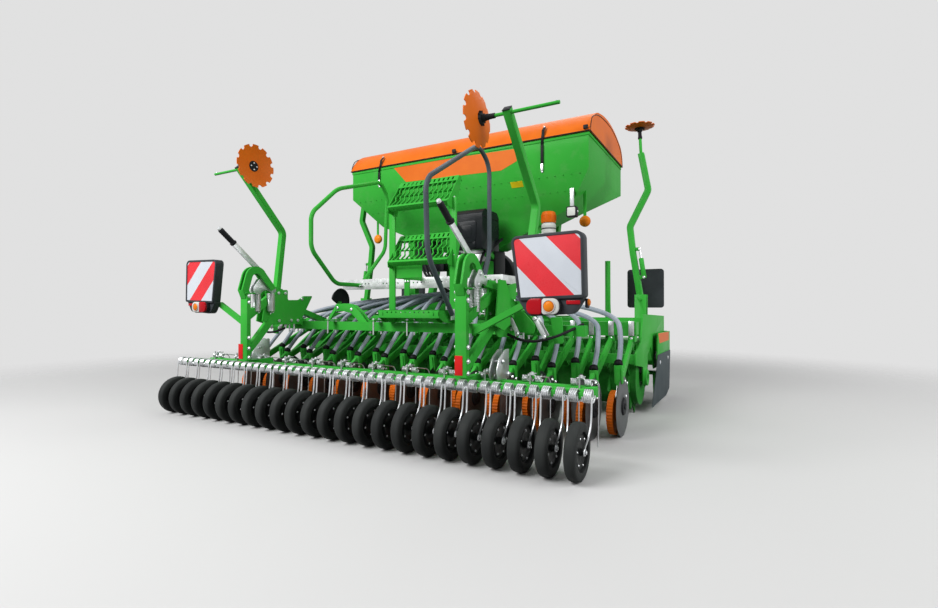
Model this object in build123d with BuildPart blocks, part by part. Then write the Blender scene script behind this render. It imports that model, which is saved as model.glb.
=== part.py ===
from build123d import *
import math
import os

os.makedirs("parts", exist_ok=True)

# Overall sizes, mm
overall_length = 3100
overall_width = 3000
sheet = 3
plate = 10
pin_clearance = 0.3
seat_gap = 0.3

# Rows: one press wheel, one coulter and one seed hose each
row_count = 24
row_spacing = 125
press_wheel_radius = 125
press_wheel_width = 42
press_wheel_tread = 28
press_wheel_sides = 20
tyre_shoulder = 102
rim_radius = 84
hub_radius = 16
rim_depth = 10

# Every place is given as across, forward of the press wheels' axle and above the ground
axle_y = press_wheel_radius - overall_length / 2


def place(across, forward, up):
    return Vector(across, axle_y + forward, up)


def side_plane(across):
    # Looks along X: sketches on it are drawn as forward, up
    return Plane(place(across, 0, 0), x_dir=(0, 1, 0), z_dir=(1, 0, 0))


def rear_plane(forward):
    # Looks along the travel: sketches on it are drawn as across, up
    return Plane(place(0, forward, 0), x_dir=(1, 0, 0), z_dir=(0, -1, 0))


def floor_plane(up):
    # Sketches on it are drawn as across, forward
    return Plane(place(0, 0, up), x_dir=(1, 0, 0), z_dir=(0, 0, 1))


def section_plane(start, run):
    across = Vector(1, 0, 0)
    if abs(run.X) > 0.9 * run.length:
        across = Vector(0, 1, 0)
    return Plane(start, x_dir=across - run * (across.dot(run) / run.dot(run)), z_dir=run)


def bar(start, end, width, depth):
    # A straight member: width lies across the machine, or along the travel on a cross member
    run = end - start
    with BuildSketch(section_plane(start, run)) as section:
        Rectangle(width, depth)
    extrude(section.sketch, amount=run.length)


def rod(start, end, radius):
    run = end - start
    with BuildSketch(section_plane(start, run)) as section:
        Circle(radius)
    extrude(section.sketch, amount=run.length)


def faceted_rod(start, end, radius, sides):
    run = end - start
    with BuildSketch(section_plane(start, run)) as section:
        RegularPolygon(radius, sides)
    extrude(section.sketch, amount=run.length)


def faceted_bend(points, radius, sides, bend):
    with BuildLine() as route:
        FilletPolyline(*points, radius=bend)
    with BuildSketch(section_plane(route.line @ 0, route.line % 0)) as section:
        RegularPolygon(radius, sides)
    sweep(section.sketch, path=route.line)


def bent_tube(points, width, depth, bend):
    with BuildLine() as route:
        FilletPolyline(*points, radius=bend)
    with BuildSketch(section_plane(route.line @ 0, route.line % 0)) as section:
        Rectangle(width, depth)
    sweep(section.sketch, path=route.line)


def upright_plate(across, thickness, outline):
    # A plate square to X, centred on its place across, from its outline of forward, up
    with BuildSketch(side_plane(across - thickness / 2)) as section:
        with BuildLine():
            Polyline(*outline, close=True)
        make_face()
    extrude(section.sketch, amount=thickness)


def block(low, high):
    size = high - low
    with BuildSketch(Plane((low + high) / 2 - Vector(0, 0, size.Z / 2))) as section:
        Rectangle(size.X, size.Y)
    extrude(section.sketch, amount=size.Z)


row_x = [(row - (row_count - 1) / 2) * row_spacing for row in range(row_count)]

# Rotary cultivator: trough, rotors, side plates and roller
rotor_count = 10
rotor_spacing = 288
rotor_radius = 135
rotor_forward = 2150
trough_half_width = 1440
trough_bottom = 290
trough_top = 480
tine_gap = 15
side_plate_x = trough_half_width + plate / 2
roller_forward = 1550
roller_tube_radius = 190
roller_radius = 250
roller_half_width = 1420
roller_axle_radius = 30
tooth_ring_count = 23
tooth_count = 10
beam_forward = 1900
beam_depth = 130
beam_low = 517
beam_high = 657

# Drill frame
tube_size = 60
rear_tube_forward = 660
rear_tube_up = 603
front_tube_forward = 1190
front_tube_size = 80
frame_half_width = 1290
coulter_tube_half_width = 1465
leg_x = 600
rear_leg_forward = 1680
post_x = 825
post_width = 65
post_rear = 80
post_depth = 100
post_foot = 386
post_head = 830
panel_rear = 62
panel_arm_forward = 137
panel_arm_size = 30

# Harrow tubes, their press wheels' coils and their tines
coil_tube_size = 40
coil_tube_forward = 112
coil_tube_up = 352
tine_tube_size = 50
tine_tube_forward = 272
tine_tube_up = 335
harrow_half_width = 1450
coil_radius = 31
coil_width = 44
wire_size = 8
fork_offset = row_spacing / 4
wheel_hub_half = fork_offset - wire_size / 2 - seat_gap
tine_count = 12
tine_spacing = 250
tine_coil_radius = 17
tine_foot_forward = 400

# Coulters: rows as forward place of the disc, forward and up place of the hose collar
coulter_disc_radius = 170
coulter_disc_thickness = 5
coulter_disc_offset = 8
depth_wheel_radius = 125
depth_wheel_width = 34
depth_wheel_up = 137
coulter_rows = (
    (850, 800, 415),
    (700, 745, 385),
)
carrier_reach = 16
collar_radius = 24
collar_length = 30
hose_radius = 15

# Hopper sections as half width, rear, front and height, from the funnel's outlet up to the rim
hopper_sections = (
    (260, 1660, 1860, 1220),
    (900, 1600, 1900, 1490),
    (1096, 1408, 2438, 1725),
    (1096, 1408, 2438, 1980),
)
hopper_wall = 4
lid_overhang = 14
lid_hinge_forward = 2466
lid_hinge_up = 1975
lid_hinge_x = (-800, 0, 800)
hinge_radius = 8
hinge_length = 60

# Distributor head: hoses leave it rearward in two layers
head_forward = 1440
head_low = 770
head_radius = 150
outlet_half_angle = 80
layer_height = 45

# Markers
arm_size = 44
marker_pivot_x = 1362
marker_pivot_forward = 1900
marker_pivot_up = 800
marker_disc_radius = 108
signal_pivot_x = 1005
signal_pivot_forward = 480
signal_pivot_up = 850
signal_disc_radius = 145

# Steps, walkway and hand rails
step_left = -50
step_right = 425
walkway_left = -830
walkway_right = 620
walkway_rear = 1000
walkway_up = 960
rail_radius = 16
rail_bend = 60

# Hand rails as place across and route of forward, up
hand_rails = (
    (
        -650,
        (
            (walkway_rear, 915),
            (730, 915),
            (486, 1155),
            (486, 1410),
            (750, 1640),
            (1260, 1805),
            (1346, 1700),
            (1320, 1230),
            (1050, walkway_up - 2),
        ),
    ),
    (
        step_right + 28,
        (
            (610, 690),
            (333, 1040),
            (312, 1480),
            (960, 1860),
            (1127, 1760),
            (1127, 1120),
            (1040, 940),
        ),
    ),
)

# Three-point linkage, category 3
lower_bore_radius = 18.5
ear_thickness = 18
lower_pin_x = 482.5
lower_pin_up = 600
ear_end_radius = 45
ear_gap = 90
front_end = overall_length - press_wheel_radius
lower_pin_forward = front_end - ear_end_radius
mast_height = 685
top_pin_forward = 2880
top_bore_radius = 16
top_ear_gap = 52

# Press wheels: a tyre with bevelled shoulders on a recessed rim, hung between the legs of its wire fork
for number, x in enumerate(row_x, start=1):
    half_width = press_wheel_width / 2
    wheel_centre = (0, press_wheel_radius)
    with BuildPart() as press_wheel:
        with BuildSketch(side_plane(x - half_width)) as tyre:
            with Locations(wheel_centre):
                RegularPolygon(press_wheel_radius, press_wheel_sides)
        extrude(tyre.sketch, amount=press_wheel_width)
        side_faces = press_wheel.faces().sort_by(Axis.X)
        chamfer(
            side_faces[0].edges() + side_faces[-1].edges(),
            length=(press_wheel_width - press_wheel_tread) / 2,
            length2=press_wheel_radius - tyre_shoulder,
        )
        for side in (-1, 1):
            with BuildSketch(side_plane(x + side * half_width)) as rim:
                with Locations(wheel_centre):
                    RegularPolygon(rim_radius, press_wheel_sides)
            extrude(rim.sketch, amount=-side * rim_depth, mode=Mode.SUBTRACT)
        with BuildSketch(side_plane(x - wheel_hub_half)) as hub:
            with Locations(wheel_centre):
                RegularPolygon(hub_radius, 6)
        extrude(hub.sketch, amount=2 * wheel_hub_half)
    press_wheel.part.label = f"press_wheel_{number:02d}"
    export_step(press_wheel.part, f"parts/press_wheel_{number:02d}.step")

# Packer roller: a drum with rings of teeth and a journal at each end
with BuildPart() as packer_roller:
    faceted_rod(
        place(-roller_half_width, roller_forward, roller_radius),
        place(roller_half_width, roller_forward, roller_radius),
        roller_tube_radius,
        2 * tooth_count,
    )
    rod(
        place(-trough_half_width - plate - 6, roller_forward, roller_radius),
        place(trough_half_width + plate + 6, roller_forward, roller_radius),
        roller_axle_radius,
    )
    for ring in range(tooth_ring_count):
        ring_x = (ring - (tooth_ring_count - 1) / 2) * row_spacing
        tooth_outline = []
        for tooth in range(tooth_count):
            angle = 2 * math.pi * tooth / tooth_count - math.pi / 2
            root_angle = angle + 0.5 * math.pi / tooth_count
            for radius, turn in ((roller_radius, angle), (roller_tube_radius - 4, root_angle)):
                tooth_outline.append(
                    (roller_forward + radius * math.cos(turn), roller_radius + radius * math.sin(turn))
                )
        upright_plate(ring_x, plate, tooth_outline)
packer_roller.part.label = "packer_roller"
export_step(packer_roller.part, "parts/packer_roller.step")

# Rotors: a carrier on its shaft's flange with two knife tines
rotor_flange_radius = 72
rotor_arm_drop = 90
rotor_arm_width = 64
for number in range(1, rotor_count + 1):
    x = (number - (rotor_count + 1) / 2) * rotor_spacing
    arm_low = trough_bottom - rotor_arm_drop
    with BuildPart() as rotor:
        faceted_rod(
            place(x, rotor_forward, arm_low),
            place(x, rotor_forward, trough_bottom - seat_gap),
            rotor_flange_radius,
            16,
        )
        block(
            place(x - rotor_radius, rotor_forward - rotor_arm_width / 2, arm_low),
            place(x + rotor_radius, rotor_forward + rotor_arm_width / 2, arm_low + 28),
        )
        for side in (-1, 1):
            with BuildSketch(Plane(place(x + side * (rotor_radius - 12), rotor_forward, arm_low))) as root:
                Rectangle(20, rotor_arm_width - 4)
            extrude(root.sketch, amount=tine_gap - arm_low, taper=1.5)
    rotor.part.label = f"rotor_{number:02d}"
    export_step(rotor.part, f"parts/rotor_{number:02d}.step")

# Gear trough with its central gearbox, input shaft and marker seats
with BuildPart() as gear_trough:
    upright_plate(
        0,
        2 * trough_half_width,
        (
            (1990, trough_top),
            (2330, trough_top),
            (2350, 450),
            (2350, 330),
            (2310, trough_bottom),
            (1990, trough_bottom),
            (1950, 330),
            (1950, 450),
        ),
    )
    block(place(-170, 2060, trough_top), place(170, 2300, 730))
    rod(place(0, 2300, 495), place(0, 2420, 495), 42)
    rod(place(0, 2420, 495), place(0, 2560, 495), 17.5)
gear_trough.part.label = "gear_trough"
export_step(gear_trough.part, "parts/gear_trough.step")

# Side plates: they close the trough's ends and carry the roller and the scraper bar
with BuildPart() as side_plates:
    for side in (-1, 1):
        upright_plate(
            side * side_plate_x,
            plate,
            (
                (1480, 690),
                (2460, 665),
                (2460, 330),
                (2330, 270),
                (1930, 270),
                (1800, 450),
                (1660, 400),
                (1620, 200),
                (1560, 185),
                (1490, 215),
                (1470, 330),
                (1215, 365),
                (1215, 440),
                (1400, 500),
            ),
        )
        rod(
            place(side * (trough_half_width + plate), roller_forward, roller_radius),
            place(side * (trough_half_width + plate + 18), roller_forward, roller_radius),
            55,
        )
        rod(
            place(side * trough_half_width, roller_forward, roller_radius),
            place(side * (trough_half_width + plate + 18), roller_forward, roller_radius),
            55,
        )
        for forward in (1960, 2380):
            block(
                place(min(side * 1450, side * 1480), forward, 400),
                place(max(side * 1450, side * 1480), forward + 60, 540),
            )
        upright_plate(
            side * 1485,
            plate,
            ((1860, 545), (2506, 535), (2506, 350), (1829, 350)),
        )
    with BuildSketch(side_plane(-overall_width / 2)) as journal:
        with Locations((roller_forward, roller_radius)):
            Circle(roller_axle_radius + pin_clearance)
    extrude(journal.sketch, amount=overall_width, mode=Mode.SUBTRACT)
side_plates.part.label = "side_plates"
export_step(side_plates.part, "parts/side_plates.step")

# Rubber side flaps below the side plates' guards
with BuildPart() as side_flaps:
    for side in (-1, 1):
        upright_plate(
            side * (overall_width / 2 - plate / 2),
            plate,
            (
                (1829, 385),
                (2500, 375),
                (2430, 60),
                (2250, 25),
                (1551, 43),
                (1732, 241),
            ),
        )
side_flaps.part.label = "side_flaps"
export_step(side_flaps.part, "parts/side_flaps.step")

# Roller frame: cross beam, scraper bar, rests for the beam on the trough and the marker brackets
with BuildPart() as roller_frame:
    block(
        place(-trough_half_width, beam_forward - beam_depth / 2, beam_low),
        place(trough_half_width, beam_forward + beam_depth / 2, beam_high),
    )
    bar(
        place(-trough_half_width, 1245, 402),
        place(trough_half_width, 1245, 402),
        50,
        60,
    )
    for scraper in range(tooth_ring_count - 1):
        scraper_x = (scraper - (tooth_ring_count - 2) / 2) * row_spacing
        bar(place(scraper_x, 1270, 400), place(scraper_x, 1352, 330), 60, 8)
    for x in (-1100, -450, 450, 1100):
        bar(place(x, 1965, 560), place(x, 2080, 520), 60, 50)
        block(place(x - 30, 2050, trough_top), place(x + 30, 2150, 550))
    for side in (-1, 1):
        for cheek in (-1, 1):
            cheek_forward = marker_pivot_forward + cheek * (arm_size / 2 + 5 + plate / 2)
            block(
                place(side * marker_pivot_x - 42, cheek_forward - plate / 2, beam_high),
                place(side * marker_pivot_x + 42, cheek_forward + plate / 2, marker_pivot_up + 34),
            )
        rod(
            place(side * marker_pivot_x, marker_pivot_forward - 45, marker_pivot_up),
            place(side * marker_pivot_x, marker_pivot_forward + 45, marker_pivot_up),
            12,
        )
        rod(place(side * 1040, 2190, trough_top), place(side * 1040, 2190, 1130), 22)
        upright_plate(
            side * 1040,
            plate,
            ((2120, trough_top), (2320, trough_top), (2240, 900), (2200, 1000), (2180, 1000)),
        )
roller_frame.part.label = "roller_frame"
export_step(roller_frame.part, "parts/roller_frame.step")

# Headstock: cross bar, pairs of lower link ears, mast with the top link's ears, and stays
with BuildPart() as headstock:
    block(place(-620, 2440, 540), place(620, 2540, 660))
    for side in (-1, 1):
        block(place(side * 450 - 40, 2120, 550), place(side * 450 + 40, 2440, 630))
        for cheek in (-1, 1):
            ear_x = side * lower_pin_x + cheek * (ear_gap + ear_thickness) / 2
            with BuildSketch(side_plane(ear_x - ear_thickness / 2)) as ear:
                with BuildLine():
                    Polyline(
                        (lower_pin_forward, lower_pin_up + ear_end_radius),
                        (2500, 660),
                        (2500, 540),
                        (lower_pin_forward, lower_pin_up - ear_end_radius),
                    )
                    RadiusArc(
                        (lower_pin_forward, lower_pin_up - ear_end_radius),
                        (lower_pin_forward, lower_pin_up + ear_end_radius),
                        -ear_end_radius,
                    )
                make_face()
                with Locations((lower_pin_forward, lower_pin_up)):
                    Circle(lower_bore_radius, mode=Mode.SUBTRACT)
            extrude(ear.sketch, amount=ear_thickness)
        bar(
            place(side * 420, 2490, 655),
            place(side * (top_ear_gap / 2 + 20), 2830, lower_pin_up + mast_height - 40),
            40,
            80,
        )
        top_ear_x = side * (top_ear_gap + ear_thickness) / 2
        with BuildSketch(side_plane(top_ear_x - ear_thickness / 2)) as top_ear:
            with BuildLine():
                Polyline(
                    (top_pin_forward + 40, lower_pin_up + mast_height + 40),
                    (2780, lower_pin_up + mast_height + 40),
                    (2760, lower_pin_up + mast_height - 130),
                    (top_pin_forward, lower_pin_up + mast_height - 60),
                    (top_pin_forward + 40, lower_pin_up + mast_height - 40),
                    close=True,
                )
            make_face()
            with Locations((top_pin_forward, lower_pin_up + mast_height)):
                Circle(top_bore_radius, mode=Mode.SUBTRACT)
        extrude(top_ear.sketch, amount=ear_thickness)
        bar(
            place(side * (top_ear_gap / 2 + 20), 2800, lower_pin_up + mast_height - 60),
            place(side * 450, 2160, 620),
            36,
            50,
        )
    rod(
        place(-60, 2800, lower_pin_up + mast_height - 60),
        place(60, 2800, lower_pin_up + mast_height - 60),
        18,
    )
headstock.part.label = "headstock"
export_step(headstock.part, "parts/headstock.step")

# Hopper: flat sheet walls down to the funnel's outlet, open at the top
def hopper_prism(inset, lift):
    # The side profile's run across, cut to the front profile
    last = hopper_sections[-1]
    with BuildSketch(side_plane(-last[0])) as from_side:
        with BuildLine():
            Polyline(
                *[(rear + inset, up + lift) for half_width, rear, front, up in hopper_sections],
                *[(front - inset, up + lift) for half_width, rear, front, up in hopper_sections[::-1]],
                close=True,
            )
        make_face()
    extrude(from_side.sketch, amount=2 * last[0])
    with BuildSketch(rear_plane(last[2])) as from_rear:
        with BuildLine():
            Polyline(
                *[(inset - half_width, up + lift) for half_width, rear, front, up in hopper_sections],
                *[(half_width - inset, up + lift) for half_width, rear, front, up in hopper_sections[::-1]],
                close=True,
            )
        make_face()
    extrude(from_rear.sketch, amount=last[2] - last[1], mode=Mode.INTERSECT)


with BuildPart() as hopper_form:
    hopper_prism(0, 0)
with BuildPart() as hopper_space:
    hopper_prism(hopper_wall, sheet)
hopper_rim = hopper_sections[-1][3]
with BuildPart() as hopper:
    add(hopper_form.part)
    add(hopper_space.part, mode=Mode.SUBTRACT)
    for x in lid_hinge_x:
        rod(
            place(x - hinge_length, lid_hinge_forward, lid_hinge_up),
            place(x, lid_hinge_forward, lid_hinge_up),
            hinge_radius,
        )
        block(
            place(x - hinge_length, hopper_sections[-1][2], lid_hinge_up - 30),
            place(x, lid_hinge_forward - hinge_radius / 2, lid_hinge_up),
        )
hopper.part.label = "hopper"
export_step(hopper.part, "parts/hopper.step")

# Drill frame: tubes, harrow posts with bent head plates, linkage plates and hopper legs
with BuildPart() as drill_frame:
    bar(
        place(-frame_half_width, rear_tube_forward, rear_tube_up),
        place(frame_half_width, rear_tube_forward, rear_tube_up),
        tube_size,
        tube_size,
    )
    bar(
        place(-coulter_tube_half_width, front_tube_forward, rear_tube_up),
        place(coulter_tube_half_width, front_tube_forward, rear_tube_up),
        front_tube_size,
        front_tube_size,
    )
    for side in (-1, 1):
        for x in (500, 875):
            bar(
                place(side * x, rear_tube_forward, rear_tube_up),
                place(side * x, front_tube_forward, rear_tube_up),
                50,
                50,
            )
        bar(
            place(side * leg_x, front_tube_forward, rear_tube_up),
            place(side * leg_x, beam_forward - beam_depth / 2, rear_tube_up),
            80,
            80,
        )
        block(
            place(side * post_x - post_width / 2, post_rear, post_foot),
            place(side * post_x + post_width / 2, post_rear + post_depth, post_head),
        )
        with BuildSketch(side_plane(side * post_x - 25)) as arch:
            with BuildLine():
                Polyline((80, post_head - 60), (45, 850), (75, 955))
                ThreePointArc((75, 955), (150, 1010), (225, 970))
                Polyline((225, 970), (310, 870), (275, 850), (190, 940))
                ThreePointArc((190, 940), (150, 962), (118, 930))
                Polyline((118, 930), (95, 850), (130, post_head - 60), (80, post_head - 60))
            make_face()
        extrude(arch.sketch, amount=50)
        for plate_x in (post_x + 45, post_x + 105):
            upright_plate(
                side * plate_x,
                8,
                ((250, 640), (290, 880), (370, 880), (430, 800), (430, 640), (350, 610)),
            )
        bar(place(side * 900, 330, 830), place(side * 840, 300, 850), 60, 40)
        bar(place(side * 900, 410, 740), place(side * 917, rear_tube_forward, 610), 52, 50)
        bar(place(side * 900, 350, 800), place(side * 917, 900, 620), 52, 40)
        bar(place(side * 845, 150, 480), place(side * 880, 330, 650), 30, 50)
        bar(place(side * 845, 150, 700), place(side * 880, 330, 810), 30, 50)
        bar(
            place(side * 845, panel_arm_forward, 600),
            place(side * 1165, panel_arm_forward, 760),
            panel_arm_size,
            panel_arm_size,
        )
        for cheek in (-1, 1):
            upright_plate(
                side * signal_pivot_x + cheek * (20 + 5 + 4),
                8,
                (
                    (signal_pivot_forward - 30, signal_pivot_up - 20),
                    (signal_pivot_forward - 30, signal_pivot_up + 25),
                    (signal_pivot_forward + 30, signal_pivot_up + 25),
                    (560, 770),
                    (520, 735),
                ),
            )
        rod(
            place(side * signal_pivot_x - 36, signal_pivot_forward, signal_pivot_up),
            place(side * signal_pivot_x + 36, signal_pivot_forward, signal_pivot_up),
            10,
        )
        block(
            place(min(side * 900, side * 1038), 520, 735),
            place(max(side * 900, side * 1038), 560, 770),
        )
        bar(place(side * leg_x, rear_leg_forward, 640), place(side * leg_x, rear_leg_forward, 1420), 60, 60)
        bar(place(side * leg_x, 1920, beam_high + 30), place(side * leg_x, 2230, 1660), 60, 60)
        block(
            place(side * leg_x - 60, beam_forward - beam_depth / 2, beam_high),
            place(side * leg_x + 60, beam_forward + beam_depth / 2, beam_high + 40),
        )
    block(place(-leg_x + 40, 1640, 560), place(leg_x - 40, 1700, 643))
    add(hopper_form.part, mode=Mode.SUBTRACT)
drill_frame.part.label = "drill_frame"
export_step(drill_frame.part, "parts/drill_frame.step")

# Hopper lid: a domed hood with closed ends, hinged along the front rim
lid_bottom = hopper_rim + seat_gap
lid_rear = hopper_sections[-1][1] - lid_overhang
lid_front = hopper_sections[-1][2] + lid_overhang
lid_half_width = hopper_sections[-1][0] + lid_overhang


def lid_outline(inset):
    Line((lid_front - inset, lid_bottom), (lid_rear + inset, lid_bottom))
    ThreePointArc(
        (lid_rear + inset, lid_bottom),
        (lid_rear + 76 + inset, lid_bottom + 115 - inset),
        (lid_rear + 266, lid_bottom + 210 - inset),
    )
    ThreePointArc(
        (lid_rear + 266, lid_bottom + 210 - inset),
        (lid_rear + 656, lid_bottom + 234 - inset),
        (lid_front - 122, lid_bottom + 170 - inset),
    )
    ThreePointArc(
        (lid_front - 122, lid_bottom + 170 - inset),
        (lid_front - 31 - inset, lid_bottom + 110 - inset),
        (lid_front - inset, lid_bottom),
    )


with BuildPart() as hopper_lid:
    with BuildSketch(side_plane(-lid_half_width)):
        with BuildLine():
            lid_outline(0)
        make_face()
    extrude(amount=2 * lid_half_width)
    with BuildSketch(side_plane(-lid_half_width + sheet)):
        with BuildLine():
            lid_outline(sheet)
        make_face()
    extrude(amount=2 * (lid_half_width - sheet), mode=Mode.SUBTRACT)
    for x in lid_hinge_x:
        rod(
            place(x + seat_gap, lid_hinge_forward, lid_hinge_up),
            place(x + hinge_length, lid_hinge_forward, lid_hinge_up),
            hinge_radius,
        )
        block(
            place(x + seat_gap, lid_front - sheet, lid_bottom),
            place(x + hinge_length, lid_hinge_forward + hinge_radius - 2, lid_bottom + 12),
        )
hopper_lid.part.label = "hopper_lid"
export_step(hopper_lid.part, "parts/hopper_lid.step")

# Metering unit, fan, distributor head, tool box, hand wash canister and work lamps
fan_radius = 255
canister_place = (765, 1500)
canister_low = 1290
lamp_place = (946, 1500)
with BuildPart() as metering_unit:
    block(place(-240, 1660, 1000), place(240, 1860, hopper_sections[0][3]))
    rod(place(0, 1990, 1000), place(0, 2130, 1000), fan_radius)
    rod(place(0, 2130, 1000), place(0, 2180, 1000), 120)
    block(place(-100, 1850, 1010), place(100, 2000, 1150))
    rod(place(0, head_forward, head_low), place(0, head_forward, head_low + 75), head_radius)
    rod(place(0, head_forward, head_low + 75), place(0, head_forward, head_low + 110), head_radius - 40)
    rod(place(0, head_forward, head_low + 100), place(0, head_forward, 1060), 50)
    bar(place(0, head_forward - 50, 1060), place(0, 1670, 1060), 100, 100)
    block(place(-40, head_forward, 643), place(40, 1680, head_low))
    with BuildSketch(side_plane(50)) as tool_box:
        with BuildLine():
            Polyline(
                (1250, 1195),
                (1262, 1180),
                (1560, 1180),
                (1560, 1450),
                (1520, 1490),
                (1290, 1490),
                (1250, 1455),
                close=True,
            )
        make_face()
    extrude(tool_box.sketch, amount=370)
    bar(place(200, 1550, 1205), place(200, 1670, 1150), 60, 40)
    canister_across, canister_forward = canister_place
    faceted_rod(
        place(canister_across, canister_forward, canister_low),
        place(canister_across, canister_forward, canister_low + 155),
        54,
        16,
    )
    faceted_rod(
        place(canister_across, canister_forward, canister_low + 155),
        place(canister_across, canister_forward, canister_low + 228),
        46,
        16,
    )
    block(
        place(canister_across - 55, canister_forward - 55, canister_low - 6),
        place(canister_across + 55, canister_forward + 55, canister_low),
    )
    bar(
        place(leg_x + 20, rear_leg_forward, canister_low - 21),
        place(canister_across, canister_forward, canister_low - 21),
        40,
        30,
    )
    lamp_across, lamp_forward = lamp_place
    block(place(lamp_across - 38, lamp_forward - 20, 1400), place(lamp_across + 38, lamp_forward + 30, 1480))
    block(place(lamp_across - 15, lamp_forward - 2, 1480), place(lamp_across + 15, lamp_forward + 3, 1700))
    add(hopper_form.part, mode=Mode.SUBTRACT)
    add(drill_frame.part, mode=Mode.SUBTRACT)
metering_unit.part.label = "metering_unit"
export_step(metering_unit.part, "parts/metering_unit.step")

# Coulters: per row an arm with its carrier, a steel disc and a depth wheel
carrier_out = coulter_disc_offset - coulter_disc_thickness / 2
coulter_clamp_low = rear_tube_up - front_tube_size / 2
coulter_arm_of_row = []
depth_wheel_of_row = []
for disc_forward, collar_forward, collar_up in coulter_rows:
    with BuildPart() as coulter_arm:
        upright_plate(
            (carrier_out - carrier_reach) / 2,
            carrier_out + carrier_reach,
            (
                (disc_forward - 30, coulter_disc_radius - 30),
                (disc_forward + 30, coulter_disc_radius - 30),
                (disc_forward + 60, 300),
                (collar_forward + 30, collar_up - 20),
                (collar_forward - 26, collar_up - 20),
                (disc_forward - 60, 300),
            ),
        )
        bar(
            place(-5, disc_forward + 30, 325),
            place(-5, front_tube_forward - 10, coulter_clamp_low - 24),
            20,
            46,
        )
        block(
            place(-22, front_tube_forward - 38, coulter_clamp_low - 44),
            place(18, front_tube_forward + 38, coulter_clamp_low),
        )
    coulter_arm_of_row.append(coulter_arm.part)
    with BuildPart() as depth_wheel:
        faceted_rod(
            place(-carrier_reach - depth_wheel_width, disc_forward - 30, depth_wheel_up),
            place(-carrier_reach, disc_forward - 30, depth_wheel_up),
            depth_wheel_radius,
            16,
        )
    depth_wheel_of_row.append(depth_wheel.part)
row_offsets = [[(x, 0, 0) for x in row_x[1 - row :: 2]] for row in range(len(coulter_rows))]

with BuildPart() as coulter_arms:
    for unit, offsets in zip(coulter_arm_of_row, row_offsets):
        with Locations(offsets):
            add(unit)
coulter_arms.part.label = "coulter_arms"
export_step(coulter_arms.part, "parts/coulter_arms.step")

with BuildPart() as coulter_discs:
    for (disc_forward, collar_forward, collar_up), offsets in zip(coulter_rows, row_offsets):
        for x, y, z in offsets:
            faceted_rod(
                place(x + carrier_out, disc_forward, coulter_disc_radius),
                place(x + carrier_out + coulter_disc_thickness, disc_forward, coulter_disc_radius),
                coulter_disc_radius,
                24,
            )
coulter_discs.part.label = "coulter_discs"
export_step(coulter_discs.part, "parts/coulter_discs.step")

with BuildPart() as depth_wheels:
    for unit, offsets in zip(depth_wheel_of_row, row_offsets):
        with Locations(offsets):
            add(unit)
depth_wheels.part.label = "depth_wheels"
export_step(depth_wheels.part, "parts/depth_wheels.step")

# Seed hoses: from the distributor head's outlets, over the front tube and down to the collars
with BuildPart() as seed_hoses:
    for row, x in enumerate(row_x):
        collar_forward, collar_up = coulter_rows[(row + 1) % 2][1:]
        turn = math.radians(outlet_half_angle) * x / row_x[-1]
        layer = row % 2 * layer_height
        outlet_up = head_low + 30 + layer
        outlet = place(head_radius * math.sin(turn), head_forward - head_radius * math.cos(turn), outlet_up)
        away = outlet + Vector(math.sin(turn), -math.cos(turn), 0) * 100
        over = place(x, 1030, 705 + layer / 2)
        collar = place(x - 5, collar_forward, collar_up)
        faceted_bend((outlet, away, over, collar), hose_radius, 8, 70)
        with BuildSketch(section_plane(collar, over - collar)) as grip:
            RegularPolygon(collar_radius, 12)
        extrude(grip.sketch, amount=collar_length)
seed_hoses.part.label = "seed_hoses"
export_step(seed_hoses.part, "parts/seed_hoses.step")

# Boarding steps: step, ladder with two slanted treads, walkway and a hand rail on each side
with BuildPart() as boarding_steps:
    block(place(step_left, 500, 697), place(step_right, 640, 720))
    block(place(step_left, 500, 670), place(step_right, 506, 720))
    for x in (step_left + 40, step_right - 40):
        block(place(x - 20, 640, 633), place(x + 20, 680, 720))
        block(place(x - 20, 620, 697), place(x + 20, 680, 720))
    for x in (step_left - 6, step_right + 6):
        bar(place(x, 660, 633), place(x, 660, 1640), 12, 60)
        bar(place(x, 660, 960), place(x, walkway_rear + 10, 960), 12, 50)
    for tread_low in (1030, 1400):
        tread_run = place(0, 755, tread_low + 190) - place(0, 610, tread_low)
        tread_start = place((step_left + step_right) / 2, 610, tread_low)
        bar(tread_start, tread_start + tread_run, step_right - step_left, 34)
        with BuildSketch(section_plane(tread_start, tread_run)) as tread_hollow:
            Rectangle(step_right - step_left - 2 * sheet, 34 - 2 * sheet)
        extrude(tread_hollow.sketch, amount=tread_run.length, mode=Mode.SUBTRACT)
        tread_normal = tread_run.cross(Vector(1, 0, 0))
        tread_plane = Plane(tread_start + tread_run / 2, x_dir=(1, 0, 0), z_dir=tread_normal)
        with BuildSketch(tread_plane) as tread_slots:
            with GridLocations(54, 46, 8, 4):
                Rectangle(22, 28)
        extrude(tread_slots.sketch, amount=40, both=True, mode=Mode.SUBTRACT)
    block(
        place(walkway_left, walkway_rear, walkway_up - sheet),
        place(walkway_right, walkway_rear + 330, walkway_up),
    )
    with BuildSketch(floor_plane(walkway_up)) as walkway_slots:
        with Locations(((walkway_left + walkway_right) / 2, walkway_rear + 170)):
            with GridLocations(100, 80, 13, 3):
                Rectangle(56, 30)
    extrude(walkway_slots.sketch, amount=-sheet, mode=Mode.SUBTRACT)
    block(
        place(walkway_left, walkway_rear, walkway_up - 80),
        place(walkway_right, walkway_rear + sheet, walkway_up),
    )
    for x in (-leg_x, leg_x):
        bar(place(x, walkway_rear + 300, 930), place(x, rear_leg_forward - 30, 930), 40, 54)
    for x, route in hand_rails:
        faceted_bend([place(x, forward, up) for forward, up in route], rail_radius, 10, rail_bend)
boarding_steps.part.label = "boarding_steps"
export_step(boarding_steps.part, "parts/boarding_steps.step")

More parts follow.
